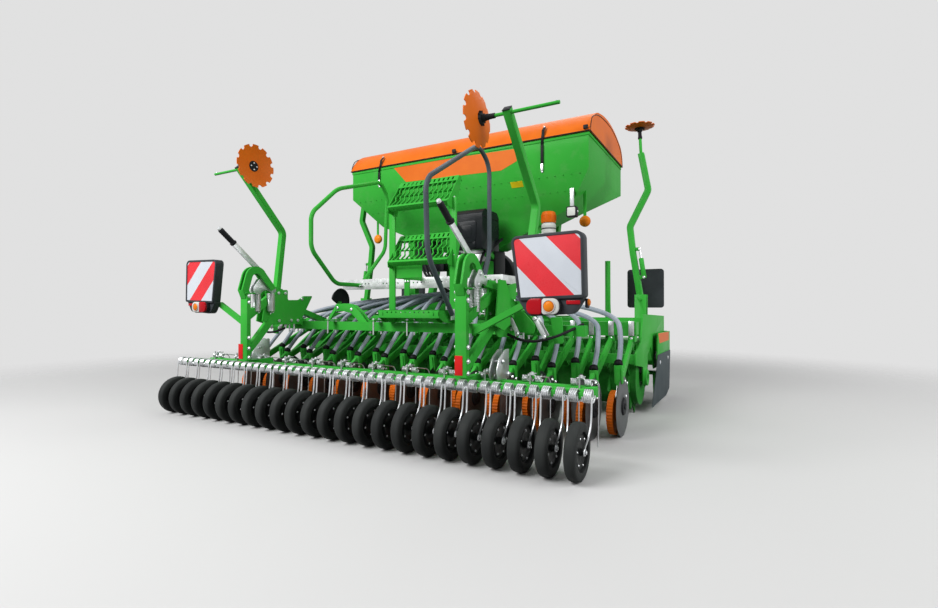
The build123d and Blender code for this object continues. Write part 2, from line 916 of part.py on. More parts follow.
# Harrow frame: coil tube and tine tube under the two posts
with BuildPart() as harrow_frame:
    for forward, up, size in (
        (coil_tube_forward, coil_tube_up, coil_tube_size),
        (tine_tube_forward, tine_tube_up, tine_tube_size),
    ):
        bar(place(-harrow_half_width, forward, up), place(harrow_half_width, forward, up), size, size)
    for side in (-1, 1):
        block(
            place(side * post_x - 15, coil_tube_forward - 20, coil_tube_up),
            place(side * post_x + 15, tine_tube_forward + 25, post_foot),
        )
harrow_frame.part.label = "harrow_frame"
export_step(harrow_frame.part, "parts/harrow_frame.step")

# Harrow wires: coil packs with the press wheels' forks, and the coiled tines
coil_forward = coil_tube_forward - coil_tube_size / 2 - coil_radius
tine_coil_up = tine_tube_up + tine_tube_size / 2 + tine_coil_radius
with BuildPart() as wheel_fork:
    for wire_x in (-fork_offset, fork_offset):
        faceted_rod(
            place(wire_x - coil_width / 2, coil_forward, coil_tube_up),
            place(wire_x + coil_width / 2, coil_forward, coil_tube_up),
            coil_radius,
            12,
        )
        bar(
            place(wire_x, coil_forward - coil_radius / 2, coil_tube_up - 20),
            place(wire_x, 12, 190),
            wire_size,
            wire_size,
        )
        bar(place(wire_x, 12, 194), place(wire_x, 0, 116), wire_size, 14)
with BuildPart() as harrow_tine:
    faceted_rod(
        place(-30, tine_tube_forward, tine_coil_up),
        place(30, tine_tube_forward, tine_coil_up),
        tine_coil_radius,
        10,
    )
    bar(
        place(26, tine_tube_forward, tine_coil_up + tine_coil_radius - 6),
        place(26, tine_foot_forward, tine_coil_up - 30),
        wire_size,
        wire_size,
    )
    bar(
        place(26, tine_foot_forward, tine_coil_up - 24),
        place(26, tine_foot_forward - 8, 45),
        wire_size,
        wire_size,
    )
sector_low = tine_tube_up + tine_tube_size / 2
with BuildPart() as springs_and_levers:
    for side in (-1, 1):
        for forward in (202, 293):
            rod(place(side * 845, forward, 700), place(side * 845, forward, 870), 17)
        bar(place(side * post_x, 205, 975), place(side * (post_x - 12), -75, 1185), 12, 30)
        for plate_x in (post_x + 93, post_x + 133):
            with BuildSketch(side_plane(side * plate_x - 3)) as sector:
                with BuildLine():
                    Polyline((352, sector_low), (215, sector_low), (205, 400))
                    RadiusArc((205, 400), (352, 520), 150)
                    Line((352, 520), (352, sector_low))
                make_face()
                with Locations((345, 385)):
                    with PolarLocations(105, 5, start_angle=100, angular_range=80):
                        Circle(8, mode=Mode.SUBTRACT)
            extrude(sector.sketch, amount=6)
    add(drill_frame.part, mode=Mode.SUBTRACT)
with BuildPart() as harrow_wires:
    with Locations([(x, 0, 0) for x in row_x]):
        add(wheel_fork.part)
    with Locations([((tine - (tine_count - 1) / 2) * tine_spacing, 0, 0) for tine in range(tine_count)]):
        add(harrow_tine.part)
    add(springs_and_levers.part)
harrow_wires.part.label = "harrow_wires"
export_step(harrow_wires.part, "parts/harrow_wires.step")

# Warning panels with their lamp clusters, the front marker boards and the lamps under the hopper
panel_depth = panel_arm_forward - panel_arm_size / 2 - panel_rear
panel_frame = 10
cluster_place = (1265, 738)
with BuildPart() as warning_panels:
    for side in (-1, 1):
        board_outline = (
            (side * 1102, 1045),
            (side * 1120, 1065),
            (side * 1425, 1072),
            (side * 1446, 1052),
            (side * 1452, 776),
            (side * 1140, 765),
        )
        with BuildSketch(rear_plane(panel_rear + panel_depth)) as board:
            with BuildLine():
                Polyline(*board_outline, close=True)
            make_face()
        extrude(board.sketch, amount=panel_depth)
        with BuildSketch(rear_plane(panel_rear + 6)) as face:
            with BuildLine():
                Polyline(*board_outline, close=True)
            make_face()
            offset(amount=-panel_frame, kind=Kind.INTERSECTION)
        extrude(face.sketch, amount=6, mode=Mode.SUBTRACT)
        with BuildSketch(rear_plane(panel_rear + panel_depth)) as lamp_holder:
            with BuildLine():
                Polyline(
                    (side * 1130, 775),
                    (side * 1452, 785),
                    (side * 1400, 705),
                    (side * 1185, 692),
                    close=True,
                )
            make_face()
        extrude(lamp_holder.sketch, amount=panel_depth - 12)
        with BuildSketch(rear_plane(panel_rear + panel_depth - 12)) as cluster:
            with Locations((side * cluster_place[0], cluster_place[1])):
                SlotOverall(156, 68)
        extrude(cluster.sketch, amount=panel_depth)
        block(
            place(min(side * 1120, side * 1430), 2590, 735),
            place(max(side * 1120, side * 1430), 2625, 1080),
        )
        bar(place(side * 1275, 2330, 400), place(side * 1275, 2600, 760), 40, 30)
        rod(place(side * 980, 1647, 1389), place(side * 1020, 1647, 1389), 42)
        block(place(side * 1000 - 12, 1642, 1425), place(side * 1000 + 12, 1652, 1640))
    add(gear_trough.part, mode=Mode.SUBTRACT)
    add(hopper_form.part, mode=Mode.SUBTRACT)
warning_panels.part.label = "warning_panels"
export_step(warning_panels.part, "parts/warning_panels.step")


def notched_disc(centre, direction, radius, notch_count, thickness):
    # A dished marker disc's rim with round-bottomed notches
    with BuildSketch(Plane(centre - direction * (thickness / 2), z_dir=direction)) as disc:
        Circle(radius)
        with PolarLocations(radius, notch_count):
            RegularPolygon(radius * 0.13, 6, mode=Mode.SUBTRACT)
    extrude(disc.sketch, amount=thickness)


# Markers, a mirrored pair of each: arms hinged at their feet with a free-turning notched disc
for side, side_name in ((-1, "left"), (1, "right")):
    with BuildPart() as track_marker:
        bent_tube(
            (
                place(side * marker_pivot_x, marker_pivot_forward, marker_pivot_up - 20),
                place(side * 1303, marker_pivot_forward, 1155),
                place(side * 1281, marker_pivot_forward, 1360),
                place(side * 1417, marker_pivot_forward, 1630),
                place(side * 1365, marker_pivot_forward, 1915),
            ),
            arm_size,
            arm_size,
            60,
        )
        rod(
            place(side * 1365, marker_pivot_forward, 1900),
            place(side * 1356, marker_pivot_forward, 2081.1),
            11,
        )
        rod(
            place(side * marker_pivot_x, marker_pivot_forward - arm_size / 2, marker_pivot_up),
            place(side * marker_pivot_x, marker_pivot_forward + arm_size / 2, marker_pivot_up),
            30,
        )
        with BuildSketch(rear_plane(marker_pivot_forward + arm_size)) as pivot:
            with Locations((side * marker_pivot_x, marker_pivot_up)):
                Circle(12 + pin_clearance)
        extrude(pivot.sketch, amount=2 * arm_size, mode=Mode.SUBTRACT)
    track_marker.part.label = f"track_marker_{side_name}"
    export_step(track_marker.part, f"parts/track_marker_{side_name}.step")

    with BuildPart() as track_disc:
        disc_centre = place(side * 1355, marker_pivot_forward, 2112)
        notched_disc(disc_centre, Vector(0, 0, 1), marker_disc_radius, 10, 8)
        rod(disc_centre - Vector(0, 0, 30), disc_centre, 30)
    track_disc.part.label = f"track_disc_{side_name}"
    export_step(track_disc.part, f"parts/track_disc_{side_name}.step")

    with BuildPart() as signal_arm:
        bent_tube(
            (
                place(side * signal_pivot_x, signal_pivot_forward, signal_pivot_up - 20),
                place(side * 1034, 562, 1308),
                place(side * 1030, 180, 1720),
            ),
            40,
            40,
            60,
        )
        rod(place(side * (908 + seat_gap), 186, 1702), place(side * 1300, 186, 1702), 9)
        rod(
            place(side * (signal_pivot_x - 20), signal_pivot_forward, signal_pivot_up),
            place(side * (signal_pivot_x + 20), signal_pivot_forward, signal_pivot_up),
            28,
        )
        with BuildSketch(side_plane(side * signal_pivot_x - 40)) as pivot:
            with Locations((signal_pivot_forward, signal_pivot_up)):
                Circle(10 + pin_clearance)
        extrude(pivot.sketch, amount=80, mode=Mode.SUBTRACT)
    signal_arm.part.label = f"signal_arm_{side_name}"
    export_step(signal_arm.part, f"parts/signal_arm_{side_name}.step")

    with BuildPart() as signal_disc:
        disc_centre = place(side * 880, 186, 1702)
        notched_disc(disc_centre, Vector(1, 0, 0), signal_disc_radius, 12, 10)
        rod(disc_centre, disc_centre + Vector(side * 28, 0, 0), 32)
    signal_disc.part.label = f"signal_disc_{side_name}"
    export_step(signal_disc.part, f"parts/signal_disc_{side_name}.step")
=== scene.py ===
import math

import bmesh
import bpy
from mathutils import Matrix, Vector


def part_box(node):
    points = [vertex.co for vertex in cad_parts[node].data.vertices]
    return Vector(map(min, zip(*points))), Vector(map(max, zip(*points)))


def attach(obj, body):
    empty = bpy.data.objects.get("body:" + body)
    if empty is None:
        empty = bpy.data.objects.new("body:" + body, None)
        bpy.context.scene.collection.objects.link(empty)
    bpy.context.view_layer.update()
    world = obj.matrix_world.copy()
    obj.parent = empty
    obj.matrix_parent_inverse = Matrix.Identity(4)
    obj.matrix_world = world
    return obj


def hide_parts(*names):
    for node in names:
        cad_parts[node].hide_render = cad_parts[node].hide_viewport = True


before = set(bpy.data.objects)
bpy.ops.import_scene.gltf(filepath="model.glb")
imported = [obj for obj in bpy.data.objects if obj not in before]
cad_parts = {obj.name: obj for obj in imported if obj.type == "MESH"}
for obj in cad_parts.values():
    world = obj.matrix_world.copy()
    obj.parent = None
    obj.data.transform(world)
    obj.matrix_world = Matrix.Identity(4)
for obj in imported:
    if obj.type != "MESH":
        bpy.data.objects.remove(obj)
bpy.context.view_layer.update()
print("frame loaded:", len(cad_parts), "nodes")

# Places are given as across, forward of the press wheels' axle and above the ground, in metres,
# and outlines as the two of these that they lie in
wheelLow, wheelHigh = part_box("press_wheel_01")
axleY = (wheelLow.y + wheelHigh.y) / 2
rowCount = 24
rowSpacing = 0.125
rowX = [(row - (rowCount - 1) / 2) * rowSpacing for row in range(rowCount)]


def place(across, forward, up):
    return Vector((across, axleY + forward, up))


def placed(spots):
    return [place(*spot) for spot in spots]


# Shader maths: values of a finish, joined by plain expressions
class Value:
    def __init__(self, finish, socket):
        self.finish = finish
        self.socket = socket

    def maths(self, operation, first, second=0.0):
        return self.finish.make("Math", {"operation": operation}, {0: first, 1: second})

    def __add__(self, other):
        return self.maths("ADD", self, other)

    def __radd__(self, other):
        return self.maths("ADD", other, self)

    def __sub__(self, other):
        return self.maths("SUBTRACT", self, other)

    def __rsub__(self, other):
        return self.maths("SUBTRACT", other, self)

    def __mul__(self, other):
        return self.maths("MULTIPLY", self, other)

    def __rmul__(self, other):
        return self.maths("MULTIPLY", other, self)

    def __truediv__(self, other):
        return self.maths("DIVIDE", self, other)

    def __rtruediv__(self, other):
        return self.maths("DIVIDE", other, self)

    def __gt__(self, other):
        return self.maths("GREATER_THAN", self, other)

    def __lt__(self, other):
        return self.maths("LESS_THAN", self, other)

    def fraction(self):
        return self.maths("FRACT", self)

    def size(self):
        return self.maths("ABSOLUTE", self)

    def fade(self, low, high):
        # 0 below low and 1 above high, smooth in between
        settings = {"interpolation_type": "SMOOTHSTEP"}
        return self.finish.make("MapRange", settings, {"Value": self, "From Min": low, "From Max": high})


class Finish:
    # A material being made: make() adds any node, with its settings first and then its sockets
    def __init__(self, name):
        self.material = bpy.data.materials.new(name)
        self.material.use_nodes = True
        self.tree = self.material.node_tree
        self.shader = self.tree.nodes["Principled BSDF"]
        self.coordinates = None

    def make(self, kind, settings=None, sockets=None, output=0):
        node = self.tree.nodes.new("ShaderNode" + kind)
        for name, setting in (settings or {}).items():
            if name == "stops":
                self.setStops(node.color_ramp, setting)
            else:
                setattr(node, name, setting)
        for name, given in (sockets or {}).items():
            self.feed(node.inputs[name], given)
        return Value(self, node.outputs[output])

    def setStops(self, ramp, stops):
        while len(ramp.elements) < len(stops):
            ramp.elements.new(1.0)
        for element, (position, colour) in zip(ramp.elements, stops):
            element.position = position
            element.color = (*colour, 1.0)

    def feed(self, socket, given):
        if isinstance(given, Value):
            self.tree.links.new(given.socket, socket)
        elif isinstance(given, tuple) and len(given) == 3 and socket.type == "RGBA":
            socket.default_value = (*given, 1.0)
        else:
            socket.default_value = given

    def coat(self, **sockets):
        # What the Principled shader gets, by its sockets' names with spaces for underscores
        for name, given in sockets.items():
            self.feed(self.shader.inputs[name.replace("_", " ")], given)

    def where(self):
        if self.coordinates is None:
            self.coordinates = self.make("TexCoord", output="Object")
        return self.coordinates

    def noise(self, scale, detail=2.0, roughness=0.5):
        sockets = {"Vector": self.where(), "Scale": scale, "Detail": detail, "Roughness": roughness}
        return self.make("TexNoise", None, sockets)

    def blend(self, factor, first, second):
        return self.make("Mix", {"data_type": "RGBA"}, {0: factor, 6: first, 7: second}, 2)

    def axes(self, vector=None):
        parts = self.make("SeparateXYZ", None, {0: vector or self.where()})
        node = parts.socket.node
        return [Value(self, node.outputs[k]) for k in range(3)]

    def bump(self, height, strength, distance):
        return self.make("Bump", None, {"Height": height, "Strength": strength, "Distance": distance})


softFade = (0.3, 0.7)  # Where a slow drift between two tones starts and ends


def paintFinish(name, colour, deep, settings):
    # Sprayed enamel: two tones that drift slowly, orange peel and dust that dulls the gloss
    finish = Finish(name)
    drift = finish.noise(settings["driftScale"], 3.0)
    dust = finish.noise(settings["dustScale"], 6.0, 0.65).fade(*settings["dustFade"])
    tone = finish.blend(drift.fade(*softFade), deep, colour)
    peel = finish.noise(settings["peelScale"], 1.0)
    finish.coat(
        Base_Color=finish.blend(dust * settings["dustShare"], tone, settings["dustColour"]),
        Roughness=settings["roughness"] + dust * settings["dustDulls"],
        Specular_IOR_Level=settings["specular"],
        Coat_Weight=settings["coat"],
        Coat_Roughness=settings["coatRoughness"],
        Normal=finish.bump(peel, settings["peelStrength"], settings["peelDepth"]),
    )
    return finish


paintSettings = {
    "driftScale": 1.7,
    "dustScale": 9.0,
    "dustFade": (0.48, 0.75),
    "dustShare": 0.10,
    "dustDulls": 0.18,
    "dustColour": (0.34, 0.36, 0.27),
    "peelScale": 260.0,
    "peelStrength": 0.25,
    "peelDepth": 0.0006,
    "roughness": 0.34,
    "specular": 0.02,
    "coat": 0.05,
    "coatRoughness": 0.15,
}
greenPaint = paintFinish("greenPaint", (0.048, 0.430, 0.050), (0.038, 0.370, 0.042), paintSettings)
rollerPaint = paintFinish("rollerPaint", (0.032, 0.280, 0.036), (0.024, 0.210, 0.028), paintSettings)


plasticSettings = {"cloudScale": 6.0, "cloudDulls": 0.12, "specular": 0.08, "grainDepth": 0.0005}


def plasticFinish(name, colour, deep, roughness, grainScale, grainStrength):
    # Moulded plastic: a faint cloudiness and a fine moulded grain
    finish = Finish(name)
    cloud = finish.noise(plasticSettings["cloudScale"], 4.0)
    grain = finish.noise(grainScale, 2.0)
    finish.coat(
        Base_Color=finish.blend(cloud.fade(*softFade), deep, colour),
        Roughness=roughness + cloud * plasticSettings["cloudDulls"],
        Specular_IOR_Level=plasticSettings["specular"],
        Normal=finish.bump(grain, grainStrength, plasticSettings["grainDepth"]),
    )
    return finish


orangePlastic = plasticFinish("orangePlastic", (0.74, 0.160, 0.012), (0.68, 0.135, 0.009), 0.36, 240, 0.15)
blackPlastic = plasticFinish("blackPlastic", (0.022, 0.023, 0.025), (0.014, 0.015, 0.017), 0.42, 420, 0.3)
panelPlastic = plasticFinish("panelPlastic", (0.052, 0.058, 0.065), (0.038, 0.043, 0.048), 0.45, 380, 0.3)
flapRubber = plasticFinish("flapRubber", (0.085, 0.105, 0.110), (0.065, 0.082, 0.088), 0.62, 300, 0.4)
tyreRubber = plasticFinish("tyreRubber", (0.034, 0.037, 0.036), (0.022, 0.024, 0.024), 0.55, 330, 0.5)
hosePlastic = plasticFinish("hosePlastic", (0.36, 0.40, 0.46), (0.24, 0.28, 0.34), 0.22, 90, 0.2)


zincSettings = {
    "crystalScale": 90.0,
    "crystalTone": 0.6,
    "crystalShare": 0.3,
    "cloudScale": 14.0,
    "cloudTone": 0.72,
    "cloudFade": (0.35, 0.7),
    "cloudDulls": 0.2,
    "metallic": 0.9,
}


def zincFinish(name, colour, roughness):
    # Bright zinc: crystals that vary the gloss and the tone a little
    finish = Finish(name)
    crystal = finish.make("TexVoronoi", None, {"Vector": finish.where(), "Scale": zincSettings["crystalScale"]}, 1)
    spangle = finish.axes(crystal)[0]
    cloud = finish.noise(zincSettings["cloudScale"], 5.0, 0.6)
    cloudy = tuple(zincSettings["cloudTone"] * c for c in colour)
    dark = tuple(zincSettings["crystalTone"] * c for c in colour)
    tone = finish.blend(cloud.fade(*zincSettings["cloudFade"]), cloudy, colour)
    finish.coat(
        Base_Color=finish.blend(spangle * zincSettings["crystalShare"], tone, dark),
        Metallic=zincSettings["metallic"],
        Roughness=roughness + cloud * zincSettings["cloudDulls"],
    )
    return finish


zinc = zincFinish("zinc", (0.78, 0.80, 0.82), 0.24)
# Dark steel of the coulter discs: partly the discs' own dark steel, partly painted shade
shadedDiscSteel = zincFinish("shadedDiscSteel", (0.15, 0.16, 0.165), 0.36)


# Smooth shading up to an angle, for the CAD nodes and the drill frame
def makeSmoothGroup(limit):
    group = bpy.data.node_groups.new("smoothByAngle", "GeometryNodeTree")
    group.interface.new_socket("Geometry", in_out="INPUT", socket_type="NodeSocketGeometry")
    group.interface.new_socket("Geometry", in_out="OUTPUT", socket_type="NodeSocketGeometry")
    given = group.nodes.new("NodeGroupInput")
    result = group.nodes.new("NodeGroupOutput")
    faces = group.nodes.new("GeometryNodeSetShadeSmooth")
    edges = group.nodes.new("GeometryNodeSetShadeSmooth")
    edges.domain = "EDGE"
    edges.inputs["Shade Smooth"].default_value = False
    angle = group.nodes.new("GeometryNodeInputMeshEdgeAngle")
    sharp = group.nodes.new("FunctionNodeCompare")
    sharp.data_type = "FLOAT"
    sharp.operation = "GREATER_THAN"
    sharp.inputs[1].default_value = math.radians(limit)
    group.links.new(given.outputs[0], faces.inputs["Geometry"])
    group.links.new(faces.outputs[0], edges.inputs["Geometry"])
    group.links.new(angle.outputs["Unsigned Angle"], sharp.inputs[0])
    group.links.new(sharp.outputs[0], edges.inputs["Selection"])
    group.links.new(edges.outputs[0], result.inputs[0])
    return group


smoothGroup = makeSmoothGroup(40)


edgeSettings = {"segments": 2, "sharpAbove": 35, "weld": 0.00002, "flatUnder": 1}


def addEdges(node, width):
    bevel = node.modifiers.new("edges", "BEVEL")
    bevel.width = width
    bevel.segments = edgeSettings["segments"]
    bevel.angle_limit = math.radians(edgeSettings["sharpAbove"])
    bevel.use_clamp_overlap = True


def addSmoothing(node):
    shade = node.modifiers.new("smooth by angle", "NODES")
    shade.node_group = smoothGroup


# CAD nodes that keep their own mesh: merged and given a small rounded edge by modifiers
def dressNode(name, finish, edge):
    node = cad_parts[name]
    node.data.materials.clear()
    node.data.materials.append(finish.material)
    weld = node.modifiers.new("merge", "WELD")
    weld.merge_threshold = edgeSettings["weld"]
    if edge:
        flat = node.modifiers.new("flat faces", "DECIMATE")
        flat.decimate_type = "DISSOLVE"
        flat.angle_limit = math.radians(edgeSettings["flatUnder"])
        addEdges(node, edge)
    addSmoothing(node)


# Each node's finish and the width of its rounded edges
dressing = {
    "drill_frame": (greenPaint, 0.003),
    "harrow_frame": (greenPaint, 0.003),
    "harrow_wires": (zinc, 0),
    "coulter_arms": (greenPaint, 0.002),
    "coulter_discs": (shadedDiscSteel, 0),
    "depth_wheels": (orangePlastic, 0),
    "seed_hoses": (hosePlastic, 0),
    "boarding_steps": (greenPaint, 0.002),
    "hopper": (greenPaint, 0),
    "metering_unit": (blackPlastic, 0.004),
    "warning_panels": (panelPlastic, 0.006),
    "roller_frame": (greenPaint, 0.003),
    "side_plates": (greenPaint, 0.002),
    "side_flaps": (flapRubber, 0.002),
    "gear_trough": (greenPaint, 0.004),
    "headstock": (greenPaint, 0.004),
    "packer_roller": (rollerPaint, 0),
    "hopper_lid": (orangePlastic, 0),
}
rotorCount = 10
for number in range(1, rowCount + 1):
    dressing[f"press_wheel_{number:02d}"] = (tyreRubber, 0)
for number in range(1, rotorCount + 1):
    dressing[f"rotor_{number:02d}"] = (rollerPaint, 0.002)
for sideName in ("left", "right"):
    for arm, disc in (("track_marker", "track_disc"), ("signal_arm", "signal_disc")):
        dressing[f"{arm}_{sideName}"] = (greenPaint, 0.003)
        dressing[f"{disc}_{sideName}"] = (orangePlastic, 0.001)
for name, (finish, edge) in dressing.items():
    dressNode(name, finish, edge)
print("CAD nodes dressed:", len(dressing))


# Further finishes
rimBlack = plasticFinish("rimBlack", (0.016, 0.018, 0.018), (0.010, 0.011, 0.011), 0.28, 300, 0.2)
moulding = plasticFinish("moulding", (0.018, 0.021, 0.024), (0.012, 0.014, 0.016), 0.16, 60, 0.25)
hoseRubber = plasticFinish("hoseRubber", (0.016, 0.017, 0.018), (0.010, 0.011, 0.012), 0.45, 260, 0.3)
whitePlastic = plasticFinish("whitePlastic", (0.70, 0.71, 0.68), (0.60, 0.61, 0.58), 0.35, 200, 0.15)
greyPaint = plasticFinish("greyPaint", (0.085, 0.105, 0.120), (0.065, 0.082, 0.096), 0.24, 240, 0.12)
redLens = plasticFinish("redLens", (0.50, 0.010, 0.018), (0.38, 0.006, 0.012), 0.10, 45, 0.35)
clearLens = plasticFinish("clearLens", (0.66, 0.64, 0.62), (0.52, 0.50, 0.49), 0.10, 45, 0.35)
amberLens = plasticFinish("amberLens", (0.88, 0.27, 0.02), (0.72, 0.18, 0.01), 0.12, 45, 0.35)
redPlastic = plasticFinish("redPlastic", (0.68, 0.022, 0.020), (0.55, 0.014, 0.014), 0.22, 200, 0.2)
yellowFilm = plasticFinish("yellowFilm", (0.92, 0.72, 0.015), (0.84, 0.62, 0.015), 0.35, 200, 0.1)
brightSteel = zincFinish("brightSteel", (0.74, 0.76, 0.78), 0.34)
aluminium = zincFinish("aluminium", (0.80, 0.81, 0.82), 0.42)


def stripeFinish(name, settings):
    # Retroreflective board: slanted bands, mirrored on the other side, over a honeycomb of cells
    finish = Finish(name)
    across, _, up = finish.axes()
    band = ((across.size() + up - settings["firstBand"]) / settings["bandPair"]).fraction()
    sockets = {"Vector": finish.where(), "Scale": settings["cellScale"]}
    cell = finish.make("TexVoronoi", {"feature": "DISTANCE_TO_EDGE"}, sockets)
    cloud = finish.noise(settings["cloudScale"], 3.0)
    red = finish.blend(cloud.fade(*softFade), settings["deepRed"], settings["red"])
    white = finish.blend(cloud.fade(*softFade), settings["deepWhite"], settings["white"])
    finish.coat(
        Base_Color=finish.blend(band < 0.5, white, red),
        Roughness=settings["roughness"] + cell.fade(0.0, 0.08) * 0.12,
        Normal=finish.bump(cell.fade(0.0, 0.05), settings["cellStrength"], settings["cellDepth"]),
    )
    return finish


stripeBoard = stripeFinish("stripeBoard", {
    "firstBand": 2.058,
    "bandPair": 0.272,
    "cellScale": 160.0,
    "cellStrength": 0.25,
    "cellDepth": 0.0005,
    "cloudScale": 7.0,
    "roughness": 0.22,
    "red": (0.80, 0.012, 0.026),
    "deepRed": (0.70, 0.009, 0.020),
    "white": (0.66, 0.70, 0.76),
    "deepWhite": (0.60, 0.64, 0.70),
})
print("finishes made:", len(bpy.data.materials))


# Shapes: each is a small bmesh made about the origin, or at its place where it follows a route
def slab(width, depth, height, edge=0.0):
    shape = bmesh.new()
    bmesh.ops.create_cube(shape, size=1.0)
    bmesh.ops.scale(shape, vec=(width, depth, height), verts=shape.verts)
    if edge:
        roundEdges(shape, shape.edges[:], edge)
    return shape


def roundEdges(shape, edges, width, segments=2):
    bmesh.ops.bevel(
        shape, geom=edges, offset=width, affect="EDGES",
        segments=segments, profile=0.5, material=-1, clamp_overlap=True,
    )


def turned(profile, steps):
    # A profile of along and radius, turned about X
    shape = bmesh.new()
    points = [shape.verts.new((along, radius, 0.0)) for along, radius in profile]
    lines = [shape.edges.new(pair) for pair in zip(points, points[1:])]
    bmesh.ops.spin(
        shape, geom=points + lines, cent=(0, 0, 0), axis=(1, 0, 0),
        angle=math.tau, steps=steps, use_merge=True,
    )
    bmesh.ops.remove_doubles(shape, verts=shape.verts, dist=0.00001)
    bmesh.ops.recalc_face_normals(shape, faces=shape.faces)
    return shape


def rod(start, end, radius, sides):
    # A round bar along X
    return turned([(start, 0.0), (start, radius), (end, radius), (end, 0.0)], sides)


def oblong(left, right, low, high):
    return [(left, low), (right, low), (right, high), (left, high)]


def thicken(shape, vec):
    # A flat shape pushed out along vec
    pushed = bmesh.ops.extrude_face_region(shape, geom=shape.faces[:])
    moved = [item for item in pushed["geom"] if isinstance(item, bmesh.types.BMVert)]
    bmesh.ops.translate(shape, vec=vec, verts=moved)
    bmesh.ops.recalc_face_normals(shape, faces=shape.faces)


def pressed(outline, thickness, axis="X", corner=0.0, edge=0.0):
    # A plate: an outline in the other two axes, its corners rounded, pressed out along one
    order = {"X": lambda u, v, t: (t, u, v), "Y": lambda u, v, t: (u, t, v), "Z": lambda u, v, t: (u, v, t)}[axis]
    shape = bmesh.new()
    shape.faces.new([shape.verts.new(order(u, v, -thickness / 2)) for u, v in outline])
    if corner:
        bmesh.ops.bevel(
            shape, geom=shape.verts[:], offset=corner, affect="VERTICES",
            segments=4, profile=0.5, material=-1, clamp_overlap=True,
        )
    thicken(shape, order(0.0, 0.0, thickness))
    if edge:
        roundEdges(shape, [line for line in shape.edges if line.calc_face_angle(0) > 0.7], edge)
    return shape


def newCurve(kind, radius, roundness, steps):
    # A round-section curve, and its one spline
    data = bpy.data.curves.new("bar", "CURVE")
    data.dimensions = "3D"
    data.bevel_depth = radius
    data.bevel_resolution = roundness
    data.resolution_u = steps
    data.use_fill_caps = True
    return data, data.splines.new(kind)


def fromCurve(data):
    # The curve's surface as a bmesh, with the curve itself cleared away
    holder = bpy.data.objects.new("bar", data)
    made = bpy.data.meshes.new_from_object(holder)
    shape = bmesh.new()
    shape.from_mesh(made)
    bpy.data.objects.remove(holder)
    bpy.data.curves.remove(data)
    bpy.data.meshes.remove(made)
    return shape


def pipe(points, radius, bend, roundness, steps):
    # A bar bent along points, each corner eased over the length given as bend
    knots = [(points[0], points[0], points[0])]
    for before, corner, after in zip(points, points[1:], points[2:]):
        ahead = (after - corner).normalized()
        back = (before - corner).normalized()
        reach = min(bend, 0.45 * (after - corner).length, 0.45 * (before - corner).length)
        start, end = corner + back * reach, corner + ahead * reach
        knots.append((start, start + back * 0.1 * reach, corner + back * 0.45 * reach))
        knots.append((end, corner + ahead * 0.45 * reach, end + ahead * 0.1 * reach))
    knots.append((points[-1], points[-1], points[-1]))
    data, spline = newCurve("BEZIER", radius, roundness, steps)
    spline.bezier_points.add(len(knots) - 1)
    for knot, (co, left, right) in zip(spline.bezier_points, knots):
        knot.handle_left_type = knot.handle_right_type = "FREE"
        knot.co, knot.handle_left, knot.handle_right = co, left, right
    return fromCurve(data)


def hose(points, radius, steps=9, roundness=2):
    # A smooth round line whose control points are the points
    data, spline = newCurve("NURBS", radius, roundness, steps)
    spline.points.add(len(points) - 1)
    for point, co in zip(spline.points, points):
        point.co = (*co, 1.0)
    spline.order_u = 3
    spline.use_endpoint_u = True
    return fromCurve(data)


def coil(radius, wire, pitch, turns, sides, steps):
    # A close spring about X, centred on the origin
    shape = bmesh.new()
    bmesh.ops.create_circle(shape, segments=sides, radius=wire / 2)
    bmesh.ops.translate(shape, vec=(-pitch * turns / 2, radius, 0), verts=shape.verts)
    count = round(steps * turns)
    bmesh.ops.spin(
        shape, geom=shape.verts[:] + shape.edges[:], cent=(0, 0, 0), axis=(1, 0, 0),
        dvec=(pitch * turns / count, 0, 0), angle=math.tau * turns, steps=count,
    )
    bmesh.ops.holes_fill(shape, edges=shape.edges[:], sides=sides)
    bmesh.ops.recalc_face_normals(shape, faces=shape.faces)
    return shape


def knob(radius, height, sides=6):
    # A bolt's head or nut standing on X
    return turned([(0, 0), (0, radius), (0.75 * height, radius), (height, 0.75 * radius), (height, 0)], sides)


def dome(radius, height, steps):
    # A lens or mushroom head standing on X
    arc = [(height * math.sin(turn), radius * math.cos(turn)) for turn in (0, 0.4, 0.8, 1.2)]
    return turned([(0, 0)] + arc + [(height, 0)], steps)


def cut(shape, cutter):
    # The shape with the cutter's volume taken out
    holders = []
    for part in (shape, cutter):
        data = bpy.data.meshes.new("part")
        part.to_mesh(data)
        holder = bpy.data.objects.new("part", data)
        bpy.context.scene.collection.objects.link(holder)
        holders.append(holder)
    modifier = holders[0].modifiers.new("cut", "BOOLEAN")
    modifier.operation = "DIFFERENCE"
    modifier.object = holders[1]
    ready = holders[0].evaluated_get(bpy.context.evaluated_depsgraph_get())
    made = bpy.data.meshes.new_from_object(ready)
    result = bmesh.new()
    result.from_mesh(made)
    bpy.data.meshes.remove(made)
    for holder in holders:
        data = holder.data
        bpy.data.objects.remove(holder)
        bpy.data.meshes.remove(data)
    return result


def joined(shape, places):
    # One bmesh with the shape at each place
    result = bmesh.new()
    data = bpy.data.meshes.new("part")
    for matrix in places:
        shape.to_mesh(data)
        data.transform(matrix)
        result.from_mesh(data)
    bpy.data.meshes.remove(data)
    return result


# Places for shapes
identity = Matrix.Identity(4)
mirrored = Matrix.Scale(-1, 4, (1, 0, 0))
upright = Matrix.Rotation(math.radians(-90), 4, "Y")
here = (identity,)
bothSides = (identity, mirrored)
backward = (0, -1, 0)
forwards = (0, 1, 0)


def at(across, forward, up):
    return Matrix.Translation(place(across, forward, up))


def facing(point, direction):
    # Stands a shape's X axis on the point, along the direction
    return Matrix.Translation(point) @ Vector(direction).to_track_quat("X", "Z").to_matrix().to_4x4()


def along(start, end):
    # Puts a shape's middle halfway, its X axis along the run
    return facing((start + end) / 2, end - start)


